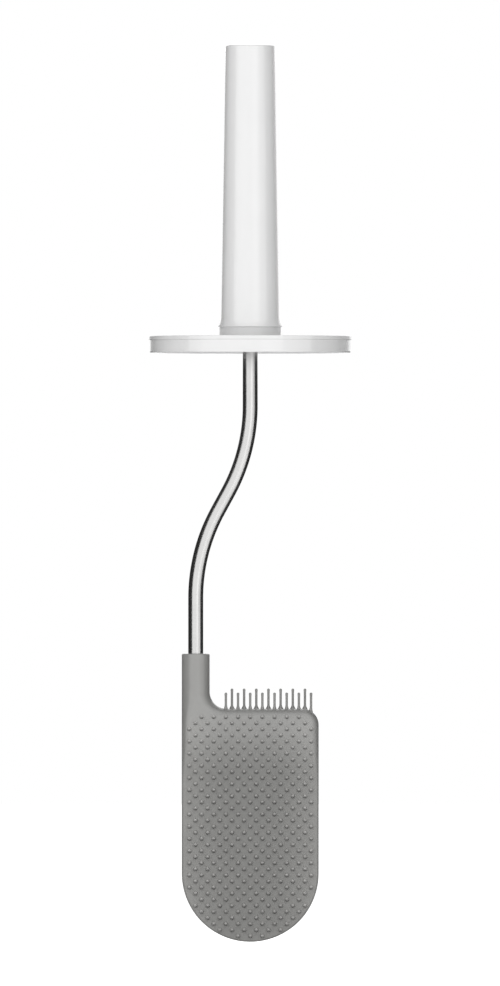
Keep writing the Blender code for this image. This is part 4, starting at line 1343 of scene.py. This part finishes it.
@dataclass
class Studio:
    """White room: soft panels, cards that draw the edges of the tube and the lid, a floor and the camera."""

    camera_distance: float = 8.0
    camera_x: float = -0.0001
    camera_height: float = 0.20996
    camera_reach: float = 50.0
    seen_height: float = 0.4613
    sensor_height: float = 24.0
    ambient: float = 0.24
    floor_height: float = -0.045
    floor_half_width: float = 6.0
    floor_grey: float = 0.8
    floor_lift: float = 0.5
    floor_near: float = 0.35
    floor_far: float = 1.0
    card_grey: float = 0.035
    cards: tuple[SideCard, ...] = (
        SideCard("left_low_card", -0.2, -0.12, 1.5, -0.04, 0.272),
        SideCard("right_low_card", 0.2, -0.065, 1.5, -0.04, 0.272),
        SideCard("left_high_card", -0.2, -0.085, 0.75, 0.272, 0.9, fade=(0.2, 0.7)),
        SideCard("right_high_card", 0.2, -0.085, 0.75, 0.272, 0.9, fade=(0.1, 0.4)))
    panels: tuple[SoftPanel, ...] = (
        SoftPanel("wide_panel", (-0.665, -1.0, 0.77), (0, 1, 0), 1.75, 1.5, 1.36),
        SoftPanel("bright_panel", (0.48, -1.0, 0.77), (0, 1, 0), 0.54, 1.5, 1.72),
        SoftPanel("left_panel", (-1.5, 0.0, 0.5), (1, 0, 0), 1.2, 1.1, 0.48, mirrored=False),
        SoftPanel("right_panel", (1.5, -0.2, 0.5), (-1, 0, 0), 1.2, 1.1, 0.54, mirrored=False),
        SoftPanel("top_panel", (0.0, 0.0, 1.9), (0, 0, -1), 0.4, 0.4, 3.0, mirrored=False),
        SoftPanel("back_panel", (0.0, 1.7, 1.2), (0, -1, -0.45), 2.4, 1.6, 1.3),
        SoftPanel("rear_fill", (0.0, 1.7, 0.5), (0, -1, 0), 2.4, 1.0, 0.8, mirrored=False))

    def plane(self, name: str, corners: list[Triple], material: bpy.types.Material) -> bpy.types.Object:
        """A flat piece of the stage on four corners.

        Args:
            name: the piece's name.
            corners: its corners in order.
            material: what it is made of.

        Returns:
            The piece's object.
        """
        mesh = bpy.data.meshes.new(name)
        mesh.from_pydata(corners, [], [(0, 1, 2, 3)])
        mesh.materials.append(material)
        obj = place_object(name, mesh)
        return obj

    def floor_finish(self) -> bpy.types.Material:
        """White floor that keeps its shadows, fully white far from the brush, and clear from below.

        Returns:
            The floor's material.
        """
        material = bpy.data.materials.new("white_floor")
        recipe = Recipe(material)
        distance = recipe.node("ShaderNodeVectorMath", recipe.place((1.0, 1.0, 0.0)), operation="LENGTH")
        lift = recipe.mapped(distance.outputs["Value"], self.floor_lift, 1.0, self.floor_near, self.floor_far)
        recipe.set(Base_Color=(*(self.floor_grey,) * 3, 1.0), Roughness=1.0, Specular_IOR_Level=0.0)
        glow = recipe.math("MULTIPLY", recipe.seen_directly(), lift)
        recipe.set(Emission_Color=FULL_WHITE, Emission_Strength=glow)
        from_below = recipe.node("ShaderNodeNewGeometry").outputs["Backfacing"]
        clear = recipe.node("ShaderNodeBsdfTransparent")
        either = recipe.node("ShaderNodeMixShader", from_below, recipe.shader.outputs[0], clear.outputs[0])
        recipe.fill(recipe.tree.nodes["Material Output"], {"Surface": either.outputs[0]})
        return material

    def card_finish(self, name: str, fade: tuple[float, float] | None = None) -> bpy.types.Material:
        """Dark whatever light falls on the card, or fading to white between two places along Y.

        Args:
            name: the material's name.
            fade: those two places, or None for an even card.

        Returns:
            The card's material.
        """
        material = bpy.data.materials.new(name)
        recipe = Recipe(material)
        tone = self.card_grey if fade is None else recipe.along("Y", *fade, self.card_grey)
        recipe.set(Base_Color=BLACK, Roughness=1.0, Specular_IOR_Level=0.0)
        recipe.set(Emission_Color=FULL_WHITE, Emission_Strength=tone)
        return material

    def build_card(self, name: str, corners: list[Triple], material: bpy.types.Material) -> None:
        """A card that only mirrors see.

        Args:
            name: the card's name.
            corners: its corners in order.
            material: what it is made of.
        """
        card = self.plane(name, corners, material)
        card.visible_camera = False
        card.visible_diffuse = False
        card.visible_transmission = False
        card.visible_shadow = False

    def build_cards(self) -> None:
        """The cards beside the tube, the lid and the handle, and the dark backs of the panels."""
        for card in self.cards:
            self.build_card(card.name, card.corners(), self.card_finish(card.name, card.fade))
        dark = self.card_finish("panel_back")
        for panel in self.panels:
            if panel.mirrored:
                self.build_card(f"{panel.name}_back", panel.back_corners(), dark)

    def build_floor(self) -> None:
        """A square floor under the brush, low enough for the head to come off above it."""
        half = self.floor_half_width
        corners = [(half * x, half * y, self.floor_height) for x, y in SQUARE]
        self.plane("floor", corners, self.floor_finish())

    def build_world(self) -> None:
        """White where it is seen, and a dim even light on everything else."""
        world = bpy.data.worlds.new("white_room")
        recipe = Recipe(world, "Background")
        recipe.set(Color=FULL_WHITE, Strength=recipe.mapped(recipe.seen_directly(), self.ambient, 1.0))
        bpy.context.scene.world = world

    def build_camera(self) -> None:
        """A level camera, far enough back that the brush is seen without perspective."""
        camera = bpy.data.cameras.new("photo_camera")
        camera.sensor_fit = "VERTICAL"
        camera.sensor_height = self.sensor_height
        camera.lens = self.sensor_height * self.camera_distance / self.seen_height
        camera.clip_end = self.camera_reach
        obj = place_object("photo_camera", camera)
        obj.location = (self.camera_x, -self.camera_distance, self.camera_height)
        obj.rotation_euler = (math.pi / 2, 0.0, 0.0)
        bpy.context.scene.camera = obj

    def build(self) -> None:
        """Set up the camera, the world, the floor, the cards and the panels."""
        bpy.context.scene.view_settings.view_transform = "Standard"
        self.build_camera()
        self.build_world()
        self.build_floor()
        self.build_cards()
        for panel in self.panels:
            panel.build()
        log.info("studio: camera, world, floor, cards and %d panels", len(self.panels))


def main() -> None:
    """Build the studio and every sub-assembly."""
    logging.basicConfig(level=logging.INFO, format="%(name)s: %(message)s")
    Studio().build()
    Handle().build()
    Lid().build()
    Stem().build()
    Head().build()


if __name__ == "__main__":
    main()
